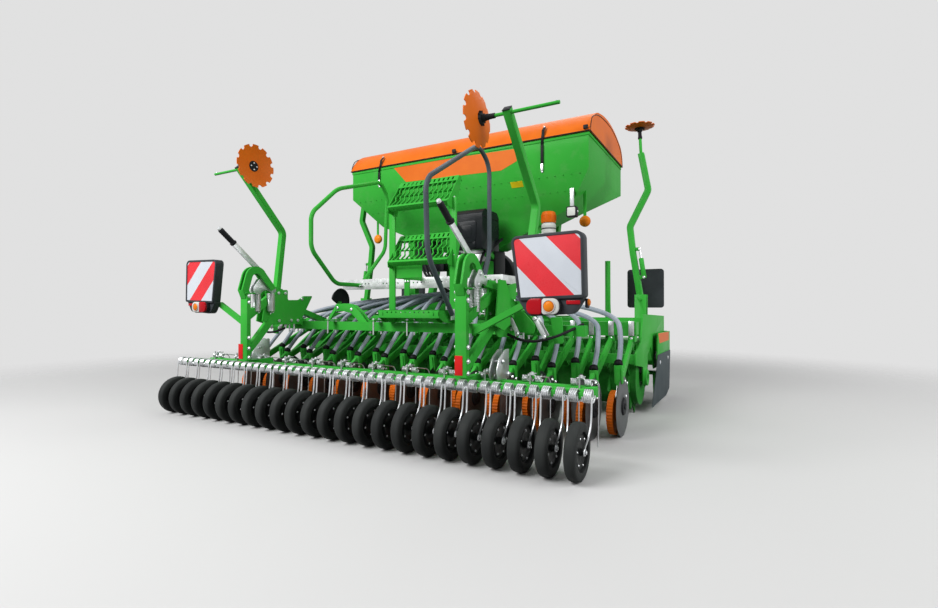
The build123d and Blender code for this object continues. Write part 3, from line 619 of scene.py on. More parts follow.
class Piece:
    # A piece in the making: shapes are taken in one after another, each with the number of its finish
    def __init__(self, name, body, finishes, slotName):
        self.name = name
        self.body = body
        self.finishes = finishes
        self.slotName = slotName
        self.mesh = bmesh.new()

    def take(self, shape, places=here, finish=None):
        if finish is not None:
            for face in shape.faces:
                face.material_index = finish
        data = bpy.data.meshes.new("part")
        for matrix in places:
            shape.to_mesh(data)
            data.transform(matrix)
            if matrix.determinant() < 0:
                data.flip_normals()
            self.mesh.from_mesh(data)
        bpy.data.meshes.remove(data)

    def pair(self, shape, matrix, finish=None):
        # The shape at its place, and mirrored on the other side
        self.take(shape, [side @ matrix for side in bothSides], finish)

    def bar(self, start, end, width, depth, finish=0, edge=0.002, sides=bothSides):
        # A straight flat or square member between two places
        matrix = along(start, end)
        self.take(slab((end - start).length, width, depth, edge), [side @ matrix for side in sides], finish)

    def finished(self, replaced=(), smoothUnder=38):
        data = bpy.data.meshes.new(self.name)
        self.mesh.to_mesh(data)
        self.mesh.free()
        for finish in self.finishes:
            data.materials.append(finish.material)
        data.polygons.foreach_set("use_smooth", [True] * len(data.polygons))
        data.set_sharp_from_angle(angle=math.radians(smoothUnder))
        piece = bpy.data.objects.new(self.name, data)
        bpy.context.scene.collection.objects.link(piece)
        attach(piece, self.body)
        if replaced:
            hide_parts(*replaced)
        return piece


# Press wheels: a soft tyre with a stepped shoulder on a bolted black rim
wheelSettings = {
    "radius": 0.125,
    "tyreFrom": 0.0840,
    "half": (
        (-0.0268, 0.0), (-0.0268, 0.0105), (-0.0235, 0.0145), (-0.0130, 0.0165), (-0.0105, 0.0220),
        (-0.0105, 0.0440), (-0.0155, 0.0530), (-0.0160, 0.0700), (-0.0115, 0.0765), (-0.0125, 0.0815),
        (-0.0235, 0.0845), (-0.0250, 0.0880), (-0.0262, 0.0990), (-0.0254, 0.1018), (-0.0255, 0.1090),
        (-0.0238, 0.1165), (-0.0195, 0.1222), (-0.0110, 0.1246), (0.0, 0.125),
    ),
    "steps": 40,
    "boltCircle": 0.0620,
    "boltCount": 6,
    "boltRadius": 0.0052,
    "boltHeight": 0.0045,
    "boltSide": 0.0158,
    "turnPerWheel": 37,
}


def makePressWheels(settings):
    half = settings["half"]
    wheel = turned(list(half) + [(-x, radius) for x, radius in half[-2::-1]], settings["steps"])
    for face in wheel.faces:
        middle = face.calc_center_median()
        face.material_index = 0 if math.hypot(middle.y, middle.z) > settings["tyreFrom"] else 1
    bolt = knob(settings["boltRadius"], settings["boltHeight"])
    for number, x in enumerate(rowX, start=1):
        name = f"press_wheel_{number:02d}"
        piece = Piece(f"pressWheel{number:02d}", name, (tyreRubber, rimBlack, zinc), "wheel_rubber")
        hub = at(x, 0, settings["radius"]) @ Matrix.Rotation(math.radians(number * settings["turnPerWheel"]), 4, "X")
        piece.take(wheel, [hub])
        bolts = []
        for turn in range(settings["boltCount"]):
            spot = Matrix.Rotation(math.tau * turn / settings["boltCount"], 4, "X")
            spot = spot @ Matrix.Translation((settings["boltSide"], settings["boltCircle"], 0))
            bolts += [hub @ spot, hub @ mirrored @ spot]
        piece.take(bolt, bolts, 2)
        piece.finished([name])


makePressWheels(wheelSettings)
print("press wheels made")

# Harrow: wire forks wound in coils on the rear tube, coiled tines on the front one
harrowSettings = {
    "coilForward": 0.061,
    "coilUp": 0.352,
    "coilRadius": 0.0265,
    "wire": 0.0085,
    "packOffset": 0.03125,
    "packPitch": 0.0090,
    "packTurns": 4.5,
    "clampForward": 0.078,
    "eyeUp": 0.125,
    "tineCount": 12,
    "tineSpacing": 0.25,
    "tineForward": 0.272,
    "tineUp": 0.377,
    "tineRadius": 0.0145,
    "tineWire": 0.0062,
    "springSide": 0.034,
    "springPitch": 0.0078,
    "springTurns": 4.0,
    "springTop": 0.0145,
}


def makeHarrow(settings):
    forks = Piece("wheelForks", "machine", (zinc, brightSteel, greenPaint), "zinc")
    offset = settings["packOffset"]
    end = offset + settings["packPitch"] * settings["packTurns"] / 2
    rear = settings["coilForward"] - settings["coilRadius"]
    rows = [Matrix.Translation((x, 0, 0)) for x in rowX]
    sides = rows + [row @ mirrored for row in rows]
    pack = coil(settings["coilRadius"], settings["wire"], settings["packPitch"], settings["packTurns"], 6, 14)
    packs = [side @ at(offset, settings["coilForward"], settings["coilUp"]) for side in sides]
    forks.take(pack, [matrix @ Matrix.Rotation(math.pi, 4, "X") for matrix in packs], 0)
    leg = pipe(
        placed((
            (end, rear, settings["coilUp"]), (end, rear - 0.002, 0.300), (end - 0.001, 0.026, 0.232),
            (end - 0.008, 0.002, 0.178), (offset + 0.002, 0.000, 0.150), (offset, 0.000, 0.137),
        )),
        settings["wire"] / 2, 0.02, 1, 2,
    )
    forks.take(leg, sides, 0)
    eye = coil(0.0125, settings["wire"], 0.0, 1.0, 6, 12)
    forks.take(eye, [side @ at(offset, 0, settings["eyeUp"]) for side in sides], 0)
    forks.take(knob(0.0085, 0.0065), [side @ at(offset + 0.0035, 0, settings["eyeUp"]) for side in sides], 1)
    clamp = slab(0.022, 0.052, 0.030, 0.003)
    forks.take(clamp, [row @ at(0, settings["clampForward"], settings["coilUp"]) for row in rows], 2)
    forks.take(knob(0.008, 0.012), [row @ facing(place(0, 0.062, 0.338), (0, 0, -1)) for row in rows], 1)
    forks.finished(["harrow_wires"])

    tines = Piece("harrowTines", "machine", (zinc, brightSteel), "zinc")
    up, forward = settings["tineUp"], settings["tineForward"]
    places = []
    for number in range(settings["tineCount"]):
        x = (number - (settings["tineCount"] - 1) / 2) * settings["tineSpacing"]
        places.append(Matrix.Translation((x, 0, 0)))
    mirroredPlaces = places + [matrix @ mirrored for matrix in places]
    top = up + settings["springTop"]
    spring = coil(
        settings["tineRadius"], settings["tineWire"], settings["springPitch"], settings["springTurns"], 6, 12)
    tines.take(spring, [matrix @ at(settings["springSide"], forward, up) for matrix in mirroredPlaces], 0)
    bridge = pipe(
        placed(((-0.018, forward, top), (0, forward - 0.01, up + 0.020), (0.018, forward, top))),
        settings["tineWire"] / 2, 0.006, 1, 2,
    )
    tines.take(bridge, places, 0)
    leg = pipe(
        placed((
            (0.0500, forward, top), (0.0500, 0.380, up - 0.004), (0.0500, 0.399, up - 0.034),
            (0.0495, 0.396, 0.190), (0.0490, 0.386, 0.048),
        )),
        settings["tineWire"] / 2, 0.03, 1, 2,
    )
    tines.take(leg, mirroredPlaces, 0)
    tines.take(slab(0.026, 0.058, 0.005, 0.001), [matrix @ at(0, forward, up + 0.024) for matrix in places], 1)
    stud = rod(-0.05, 0.034, 0.004, 8)
    tines.take(stud, [matrix @ at(0, forward - 0.031, up) @ upright for matrix in places], 1)
    tines.take(knob(0.0085, 0.009), [matrix @ at(0, forward, up + 0.026) @ upright for matrix in places], 1)
    tines.finished(["harrow_wires"])


makeHarrow(harrowSettings)
print("harrow wires made")


# Springs, depth levers and their toothed sectors at the two harrow posts
leverSettings = {
    "springX": 0.845,
    "springForward": (0.187, 0.303),
    "springUp": 0.772,
    "springRadius": 0.0245,
    "springWire": 0.0072,
    "springPitch": 0.0078,
    "springTurns": 16,
    "hookUp": ((0.714, 0.690), (0.830, 0.866)),
    "hookWire": 0.0038,
    "studUp": 0.701,
    "bracketX": (0.862, 0.828),
    "bracket": (
        (0.150, 0.838), (0.150, 0.872), (0.196, 0.930), (0.226, 0.930), (0.262, 0.892), (0.326, 0.884),
        (0.334, 0.846), (0.300, 0.830), (0.262, 0.856), (0.232, 0.856), (0.206, 0.830),
    ),
    "bracketBolts": ((0.187, 0.852), (0.303, 0.858), (0.211, 0.908)),
    "lever": ((0.825, 0.205, 0.975), (0.8165, -0.006, 1.1455), (0.8145, -0.106, 1.2260)),
    "ribCount": 6,
    "sectorX": (0.918, 0.958),
    "sector": (
        (0.352, 0.362), (0.352, 0.516), (0.300, 0.512), (0.240, 0.478), (0.208, 0.420), (0.208, 0.392),
        (0.218, 0.362),
    ),
    "holes": {"count": 5, "first": 100, "step": 20, "circle": 0.105, "middle": (0.345, 0.385)},
    "pins": ((0.268, 0.455), (0.335, 0.385)),
}


def makeSpringsAndLevers(settings):
    piece = Piece("springsAndLevers", "machine", (zinc, brightSteel, blackPlastic), "zinc")
    springX, studUp = settings["springX"], settings["studUp"]
    spring = coil(
        settings["springRadius"], settings["springWire"], settings["springPitch"], settings["springTurns"], 6, 16)
    for forward in settings["springForward"]:
        piece.pair(spring, at(springX, forward, settings["springUp"]) @ upright, 0)
        for start, end in settings["hookUp"]:
            hook = placed((
                (springX, forward + 0.020, start), (springX, forward + 0.004, (start + end) / 2),
                (springX, forward - 0.004, end),
            ))
            piece.take(pipe(hook, settings["hookWire"], 0.01, 1, 2), bothSides, 0)
        piece.pair(rod(-0.028, 0.028, 0.0045, 10), at(springX, forward, studUp), 0)
        piece.pair(knob(0.009, 0.008), at(springX + 0.027, forward, studUp), 0)
    bracket = pressed(settings["bracket"], 0.006, "X", 0.008, 0.001)
    for x in settings["bracketX"]:
        piece.pair(bracket, at(x, 0, 0), 1)
    for forward, up in settings["bracketBolts"]:
        piece.pair(knob(0.010, 0.008), at(0.865, forward, up), 0)
    # Lever: a flat galvanised bar with a ribbed grip and a bright end
    foot, knee, top = placed(settings["lever"])
    piece.bar(foot, knee, 0.012, 0.036, 1, 0.002)
    gripRun = (top - knee).length
    ribs = [(0.0, 0.0), (0.0, 0.021), (0.012, 0.022), (0.014, 0.0175)]
    for rib in range(settings["ribCount"]):
        start = 0.020 + rib * (gripRun - 0.034) / settings["ribCount"]
        ribs += [(start, 0.0165), (start + 0.010, 0.0180)]
    ribs += [(gripRun - 0.006, 0.0170), (gripRun, 0.0130), (gripRun, 0.0)]
    piece.pair(turned(ribs, 14), facing(knee, top - knee), 2)
    cap = turned([(0.0, 0.0), (0.0, 0.0125), (0.010, 0.0120), (0.014, 0.0080), (0.014, 0.0)], 14)
    piece.pair(cap, facing(top, top - knee), 1)
    # Toothed sectors with a fan of holes and a pin
    holes = settings["holes"]
    forward, up = holes["middle"]
    fan = []
    for number in range(holes["count"]):
        angle = math.radians(holes["first"] + number * holes["step"])
        fan.append(at(0, forward + holes["circle"] * math.cos(angle), up + holes["circle"] * math.sin(angle)))
    sector = pressed(settings["sector"], 0.006, "X", 0.010, 0.0008)
    sector = cut(sector, joined(rod(-0.02, 0.02, 0.008, 12), fan))
    for x in settings["sectorX"]:
        piece.pair(sector, at(x, 0, 0), 1)
    for forward, up in settings["pins"]:
        piece.pair(rod(-0.045, 0.040, 0.007, 10), at(0.938, forward, up), 0)
        piece.pair(knob(0.013, 0.010), at(0.961, forward, up), 0)
    piece.finished(["harrow_wires"])


makeSpringsAndLevers(leverSettings)
print("springs and levers made")

# Coulters: steel discs with a ground edge, ribbed depth wheels, sockets and clamps on the arms
coulterSettings = {
    # Forward of the disc, and forward and up of the collar, front row first
    "rows": ((0.850, 0.800, 0.415), (0.700, 0.745, 0.385)),
    "discRadius": 0.170,
    "discOffset": 0.008,
    "wheelRadius": 0.125,
    "wheelUp": 0.137,
    "wheelX": (-0.050, -0.016),
    "ribs": 44,
    "ribDepth": 0.0035,
    "tubeForward": 1.190,
    "tubeLow": 0.563,
    "scraper": ((-0.098, 0.235), (-0.060, 0.300), (-0.035, 0.285), (-0.078, 0.212)),
    "bolts": ((0.030, 0.300), (-0.022, 0.318), (0.0, 0.230)),
}


def cogged(radius, groove, ribs, width, dish):
    # A wheel whose rim is ribbed across, with dished sides
    shape = bmesh.new()
    bmesh.ops.create_circle(shape, cap_ends=True, segments=ribs * 2, radius=radius)
    for vert in list(shape.verts)[::2]:
        vert.co *= (radius - groove) / radius
    thicken(shape, (0, 0, width))
    sides = [face for face in shape.faces if len(face.verts) > 4]
    for inward, depth in ((0.010, 0.0), (0.006, -dish), (0.060, dish * 0.3), (0.006, dish * 0.9)):
        bmesh.ops.inset_region(shape, faces=sides, thickness=inward, depth=depth)
    bmesh.ops.rotate(shape, verts=shape.verts, matrix=Matrix.Rotation(math.radians(90), 3, "Y"))
    return shape


def makeCoulters(settings):
    # The discs' dark steel carries painted shade as well as their own tone
    discs = Piece("coulterDiscs", "machine", (shadedDiscSteel, blackPlastic), "disc_steel")
    wheels = Piece("depthWheels", "machine", (orangePlastic, zinc), "orange_plastic")
    trims = Piece("coulterTrims", "machine", (greenPaint, zinc, brightSteel), "green_paint")
    radius = settings["discRadius"]
    disc = turned(
        [
            (-0.0025, 0.0), (-0.0025, radius - 0.022), (0.0, radius), (0.0025, radius - 0.022), (0.0025, 0.052),
            (0.0120, 0.046), (0.0120, 0.020), (0.0180, 0.016), (0.0180, 0.0),
        ],
        36,
    )
    for face in disc.faces:
        middle = face.calc_center_median()
        face.material_index = 1 if middle.x > 0.0026 and math.hypot(middle.y, middle.z) < 0.052 else 0
    low, high = settings["wheelX"]
    wheel = cogged(settings["wheelRadius"], settings["ribDepth"], settings["ribs"], high - low, 0.005)
    tube, tubeLow = settings["tubeForward"], settings["tubeLow"]
    turnDown = Matrix.Rotation(math.radians(90), 4, "Y")
    for row, (discForward, collarForward, collarUp) in enumerate(settings["rows"]):
        for x in rowX[1 - row::2]:
            discs.take(disc, [at(x + settings["discOffset"], discForward, radius)])
            wheels.take(wheel, [at(x + low, discForward - 0.030, settings["wheelUp"])], 0)
            hub = at(x + low - 0.0005, discForward - 0.030, settings["wheelUp"])
            wheels.take(knob(0.014, 0.006), [hub @ mirrored], 1)
            # Socket below the hose collar, with a hole through its flat cheeks
            foot = place(x - 0.005, collarForward, collarUp - 0.004)
            down = place(x - 0.004, collarForward + 0.012, collarUp - 0.112)
            hole = joined(rod(-0.03, 0.03, 0.0105, 14), [Matrix.Translation((-0.026, 0, 0)) @ turnDown])
            trims.take(cut(slab(0.110, 0.046, 0.034, 0.007), hole), [along(foot, down)], 0)
            outline = [(discForward + forward, up) for forward, up in settings["scraper"]]
            trims.take(pressed(outline, 0.003, "X", 0.006), [at(x - 0.010, 0, 0)], 2)
            for forward, up in settings["bolts"]:
                trims.take(knob(0.010, 0.008), [at(x + 0.0215, discForward + forward, up)], 1)
            trims.take(slab(0.034, 0.006, 0.092, 0.001), [at(x - 0.002, tube - 0.0435, tubeLow + 0.040)], 1)
            spot = place(x - 0.002, tube - 0.0465, tubeLow - 0.022)
            trims.take(knob(0.009, 0.008), [facing(spot, backward)], 1)
    discs.finished(["coulter_discs"])
    wheels.finished(["depth_wheels"])
    trims.finished()


makeCoulters(coulterSettings)
print("coulters made")

# Seed hoses: along the CAD route, each held at both ends, with a ribbed collar at its coulter
hoseSettings = {
    "radius": 0.0150,
    "headForward": 1.440,
    "headLow": 0.770,
    "headRadius": 0.150,
    "halfAngle": 80.0,
    "layer": 0.045,
    # Forward and up of each row's collar
    "collars": ((0.745, 0.385), (0.800, 0.415)),
    # Forward and up of the bend that each hose goes over
    "over": (1.030, 0.705),
    "spread": 0.95,
    "straight": 0.100,
    "dropShare": 0.42,
}


def makeHoses(settings):
    piece = Piece("seedHoses", "machine", (hosePlastic, hoseRubber), "hose_plastic")
    collar = turned(
        [
            (-0.010, 0.0), (-0.010, 0.0200), (-0.004, 0.0245), (0.003, 0.0250), (0.006, 0.0205), (0.010, 0.0205),
            (0.012, 0.0235), (0.017, 0.0225), (0.022, 0.0170), (0.022, 0.0),
        ],
        16,
    )
    for row, x in enumerate(rowX):
        collarForward, collarUp = settings["collars"][row % 2]
        turn = math.radians(settings["halfAngle"]) * x / rowX[-1]
        layer = row % 2 * settings["layer"]
        radius = settings["headRadius"]
        outward = Vector((math.sin(turn), -math.cos(turn), 0))
        outlet = place(0, settings["headForward"], settings["headLow"] + 0.030 + layer) + outward * radius
        overForward, overUp = settings["over"]
        over = place(x * settings["spread"], overForward, overUp + layer / 2)
        end = place(x - 0.005, collarForward, collarUp)
        drop = end + (place(x, overForward, overUp) - end) * settings["dropShare"]
        leaving = outlet + outward * settings["straight"]
        piece.take(hose([outlet, leaving, over, drop, end], settings["radius"]), finish=0)
        piece.take(collar, [facing(end, over - end)], 1)
        piece.take(
            turned([(-0.03, 0.0), (-0.03, 0.0185), (0.018, 0.0185), (0.022, 0.0165), (0.022, 0.0)], 14),
            [facing(outlet, outward)], 1,
        )
    piece.finished(["seed_hoses"])


makeHoses(hoseSettings)
print("seed hoses made")

# Warning boards with their lamp clusters, front boards and the side beacons
boardSettings = {
    "outline": ((1.102, 1.045), (1.120, 1.065), (1.425, 1.072), (1.446, 1.052), (1.452, 0.776), (1.140, 0.765)),
    "rear": 0.062,
    "depth": 0.060,
    "holder": ((1.130, 0.775), (1.452, 0.785), (1.400, 0.705), (1.185, 0.692)),
    "cluster": (1.265, 0.738),
    "clusterHalf": (0.082, 0.040),
    # Side, inner edge, thickness, rounding and finish of each pane
    "panes": ((-1, -0.004, 0.018, 0.005, 3), (1, -0.003, 0.014, 0.004, 8)),
    "lensAcross": 0.032,
    "ring": ((0, 0.0255), (0.004, 0.0255), (0.005, 0.0275), (0.003, 0.0300), (0, 0.0300)),
    "barAt": (1.398, 0.756),
    "sideLamp": ((0, 0), (0, 0.017), (0.006, 0.014), (0.009, 0.006), (0.009, 0)),
    "bolts": ((1.180, 0.99), (1.400, 0.99), (1.180, 0.84), (1.400, 0.84)),
    # Left, right, rear, front, low and high
    "front": (1.120, 1.430, 2.590, 2.625, 0.735, 1.080),
    "frontStay": ((1.275, 2.330, 0.400), (1.275, 2.596, 0.755)),
    "beacon": (1.000, 1.647, 1.389),
    "beaconProfile": (
        (-0.020, 0), (-0.020, 0.036), (-0.012, 0.038), (-0.010, 0.042), (0.004, 0.042), (0.014, 0.035),
        (0.020, 0.020), (0.022, 0),
    ),
    "beaconStayUp": 1.532,
}


def stripeFace(board, towards):
    # The largest face that way gets a plain margin round its striped film
    face = max(board.faces, key=lambda side: towards * side.normal.y * side.calc_area())
    bmesh.ops.inset_region(board, faces=[face], thickness=0.010, depth=0.0)
    bmesh.ops.inset_region(board, faces=[face], thickness=0.002, depth=-0.003)
    face.material_index = 1


def paneOutline(x, up, side, inner):
    # One end of the lamp cluster, its outer corners cut off
    return [
        (x + inner, up - side * 0.036), (x + side * 0.060, up - side * 0.036), (x + side * 0.077, up - side * 0.018),
        (x + side * 0.077, up + side * 0.018), (x + side * 0.060, up + side * 0.036), (x + inner, up + side * 0.036),
    ]


def makeBoards(settings):
    piece = Piece(
        "warningBoards", "machine",
        (panelPlastic, stripeBoard, blackPlastic, redLens, clearLens, amberLens, greenPaint, zinc, whitePlastic),
        "panel_plastic",
    )
    rear, depth = settings["rear"], settings["depth"]
    board = pressed(settings["outline"], depth, "Y", 0.016, 0.003)
    stripeFace(board, -1)
    piece.pair(board, at(0, rear + depth / 2, 0))
    holder = pressed(settings["holder"], depth - 0.012, "Y", 0.020, 0.003)
    piece.pair(holder, at(0, rear + depth / 2 + 0.006, 0), 0)
    # Lamp cluster: a red and a pale end in a dark surround, and a ringed amber lens
    x, up = settings["cluster"]
    halfWidth, halfHeight = settings["clusterHalf"]
    surround = oblong(x - halfWidth, x + halfWidth, up - halfHeight, up + halfHeight)
    piece.pair(pressed(surround, 0.050, "Y", 0.034, 0.003), at(0, rear + 0.014, 0), 2)
    for side, inner, thickness, edge, finish in settings["panes"]:
        pane = pressed(paneOutline(x, up, side, inner), thickness, "Y", 0.012, edge)
        piece.pair(pane, at(0, rear - 0.014, 0), finish)
    lensX = x + settings["lensAcross"]
    piece.pair(dome(0.026, 0.010, 20), facing(place(lensX, rear - 0.020, up), backward), 5)
    piece.pair(turned(settings["ring"], 20), facing(place(lensX, rear - 0.021, up), backward), 4)
    barX, barUp = settings["barAt"]
    piece.pair(slab(0.063, 0.006, 0.018, 0.003), at(barX, rear + 0.010, barUp), 3)
    piece.pair(slab(0.012, 0.040, 0.042, 0.005), at(1.4485, rear + 0.056, 0.752), 2)
    piece.pair(turned(settings["sideLamp"], 16), at(1.4540, rear + 0.056, barUp), 5)
    # Fixing bolts of the boards on their arms
    for across, height in settings["bolts"]:
        piece.pair(knob(0.010, 0.007), facing(place(across, rear + depth, height), forwards), 7)
    # Front boards, striped towards the front, on their stays
    left, right, back, front, low, high = settings["front"]
    plate = pressed(oblong(left, right, low, high), front - back, "Y", 0.025, 0.003)
    stripeFace(plate, 1)
    piece.pair(plate, at(0, (front + back) / 2, 0))
    piece.bar(*placed(settings["frontStay"]), 0.040, 0.030, 6, 0.003)
    # Beacons under the hopper
    across, forward, up = settings["beacon"]
    beacon = turned(settings["beaconProfile"], 28)
    for face in beacon.faces:
        face.material_index = 2 if face.calc_center_median().x < -0.011 else 5
    piece.pair(beacon, facing(place(across, forward, up), backward))
    piece.pair(slab(0.024, 0.006, 0.215, 0.002), at(across, forward, settings["beaconStayUp"]), 6)
    piece.finished(["warning_panels"])


makeBoards(boardSettings)
print("warning boards made")

# Marker discs: dished, with round-bottomed notches and a black ribbed hub
discSettings = {
    "signal": {"place": (0.880, 0.186, 1.702), "radius": 0.145, "notches": 12, "dish": 0.022},
    "track": {"place": (1.355, 1.900, 2.112), "radius": 0.108, "notches": 10, "dish": 0.014},
}


def ring(count, spot):
    # A spot repeated round X
    return [Matrix.Rotation(math.tau * k / count, 4, "X") @ Matrix.Translation(spot) for k in range(count)]


def notchedDisc(radius, notches, dish):
    # Dished towards minus X at its rim
    half = 0.0022
    inner = 0.32 * radius
    shape = turned(
        [
            (half, 0), (half, inner), (half - 0.4 * dish, 0.72 * radius), (half - dish, radius),
            (-half - dish, radius), (-half - 0.4 * dish, 0.72 * radius), (-half, inner), (-half, 0),
        ],
        72,
    )
    notch = rod(-0.06, 0.06, 0.105 * radius, 14)
    halfStep = Matrix.Rotation(math.tau * 0.5 / notches, 4, "X")
    return cut(shape, joined(notch, [halfStep @ spot for spot in ring(notches, (0, 0, 0.985 * radius))]))


def makeMarkerDiscs(settings):
    hub = turned(
        [
            (-0.004, 0), (-0.004, 0.036), (0.002, 0.038), (0.004, 0.034), (0.008, 0.030), (0.010, 0.022),
            (0.014, 0.0205), (0.026, 0.0185), (0.028, 0.0165), (0.028, 0),
        ],
        20,
    )
    rib = slab(0.008, 0.003, 0.030)
    ribs = ring(10, (0.006, 0, 0.024))
    bolts = ring(4, (-0.0030, 0, 0.022))
    for name, disc in settings.items():
        shape = notchedDisc(disc["radius"], disc["notches"], disc["dish"])
        for sideName, side in (("Left", mirrored), ("Right", identity)):
            node = f"{name}_disc_{sideName.lower()}"
            piece = Piece(f"{name}Disc{sideName}", node, (orangePlastic, hoseRubber, zinc), "orange_plastic")
            centre = at(*disc["place"])
            if name == "track":
                centre = centre @ Matrix.Rotation(math.radians(90), 4, "Y")
            matrix = side @ centre
            piece.take(shape, [matrix], 0)
            piece.take(hub, [matrix], 1)
            piece.take(rib, [matrix @ spot for spot in ribs], 1)
            piece.take(knob(0.006, 0.005), [matrix @ spot @ mirrored for spot in bolts], 2)
            piece.finished([node])


makeMarkerDiscs(discSettings)
print("marker discs made")

# Ribbed collars and end caps on the marker arms, and the track markers' lock struts
armSettings = {
    "collar": ((0, 0), (0, 0.0155), (0.012, 0.0165), (0.016, 0.0145), (0.034, 0.0135), (0.052, 0.0130), (0.052, 0)),
    "signalCollar": (0.9086, 0.186, 1.702),
    "signalTip": (1.285, 0.186, 1.7105),
    "signalHead": (1.030, 0.1785, 1.7215),
    "signalLean": (-0.004, -0.382, 0.412),
    "signalPivot": (1.041, 0.480, 0.850),
    "trackCollar": (1.3585, 1.900, 2.029),
    "trackLean": (-0.009, 0, 0.181),
    "trackPivot": (1.362, 1.877, 0.800),
    "strut": ((1.386, 1.893, 0.960), (1.352, 1.893, 1.190)),
    "barrel": ((0, 0), (0, 0.015), (0.004, 0.018), (0.150, 0.018), (0.154, 0.015), (0.154, 0)),
    "strutRod": (0.150, 0.232, 0.008),
    "lugShares": (0.03, 0.97),
    "lugReach": 0.052,
}


def makeArmTrims(settings):
    collar = turned(settings["collar"], 16)
    barrel = turned(settings["barrel"], 16)
    for sideName, side in (("Left", mirrored), ("Right", identity)):
        low = sideName.lower()
        signal = Piece(
            f"signalArmTrim{sideName}", f"signal_arm_{low}", (hoseRubber, zinc, blackPlastic), "black_plastic")
        signal.take(collar, [side @ at(*settings["signalCollar"])], 0)
        signal.take(knob(0.006, 0.005), [side @ facing(place(*settings["signalTip"]), (0, 0, 1))], 1)
        lean = facing(place(*settings["signalHead"]), settings["signalLean"])
        lean = lean @ Matrix.Rotation(math.radians(90), 4, "Y")
        signal.take(slab(0.043, 0.043, 0.006, 0.002), [side @ lean], 2)
        signal.take(knob(0.013, 0.010), [side @ at(*settings["signalPivot"])], 1)
        signal.finished()
        track = Piece(
            f"trackMarkerTrim{sideName}", f"track_marker_{low}", (hoseRubber, zinc, greenPaint), "black_plastic")
        foot, head = placed(settings["strut"])
        strut = side @ facing(foot, head - foot)
        track.take(barrel, [strut], 2)
        track.take(rod(*settings["strutRod"], 12), [strut], 1)
        for share in settings["lugShares"]:
            lug = foot + (head - foot) * share
            track.bar(lug, lug - Vector((settings["lugReach"], 0, 0)), 0.018, 0.026, 2, 0.002, [side])
            track.take(knob(0.011, 0.009), [side @ facing(lug - Vector((0, 0.009, 0)), backward)], 1)
        track.take(collar, [side @ facing(place(*settings["trackCollar"]), settings["trackLean"])], 0)
        track.take(knob(0.014, 0.010), [side @ facing(place(*settings["trackPivot"]), backward)], 1)
        track.finished()


makeArmTrims(armSettings)
print("arm trims made")

# Hopper: blank patch, rivets, lid straps, stops, and a black strip along the lid's edge that paints the shade of the
# gap under it
hopperSettings = {
    "rear": 1.408,
    "patch": ((-0.635, 1.968), (-0.494, 1.819), (0.412, 1.795), (0.546, 1.850), (0.522, 1.945)),
    "rivetCount": 34,
    "halfWidth": 1.096,
    "foot": (1.600, 1.490),
    "crease": 1.725,
    "rim": 1.980,
    "front": 2.438,
    "rivetRows": (0.10, 0.52),
    "taper": 0.196,
    # Across at the lid, across at the hook, and the hook's height
    "straps": ((-0.762, -0.784, 1.818), (0.759, 0.750, 1.744)),
    "strapSection": (0.022, 0.005),
    "overhang": 0.014,
    "gapShadeUp": 1.9845,
    "endArc": (
        (1.4050, 1.992), (1.4200, 2.060), (1.4780, 2.118), (1.6600, 2.180), (2.0500, 2.202), (2.3140, 2.142),
        (2.4050, 2.080), (2.4400, 1.992),
    ),
}


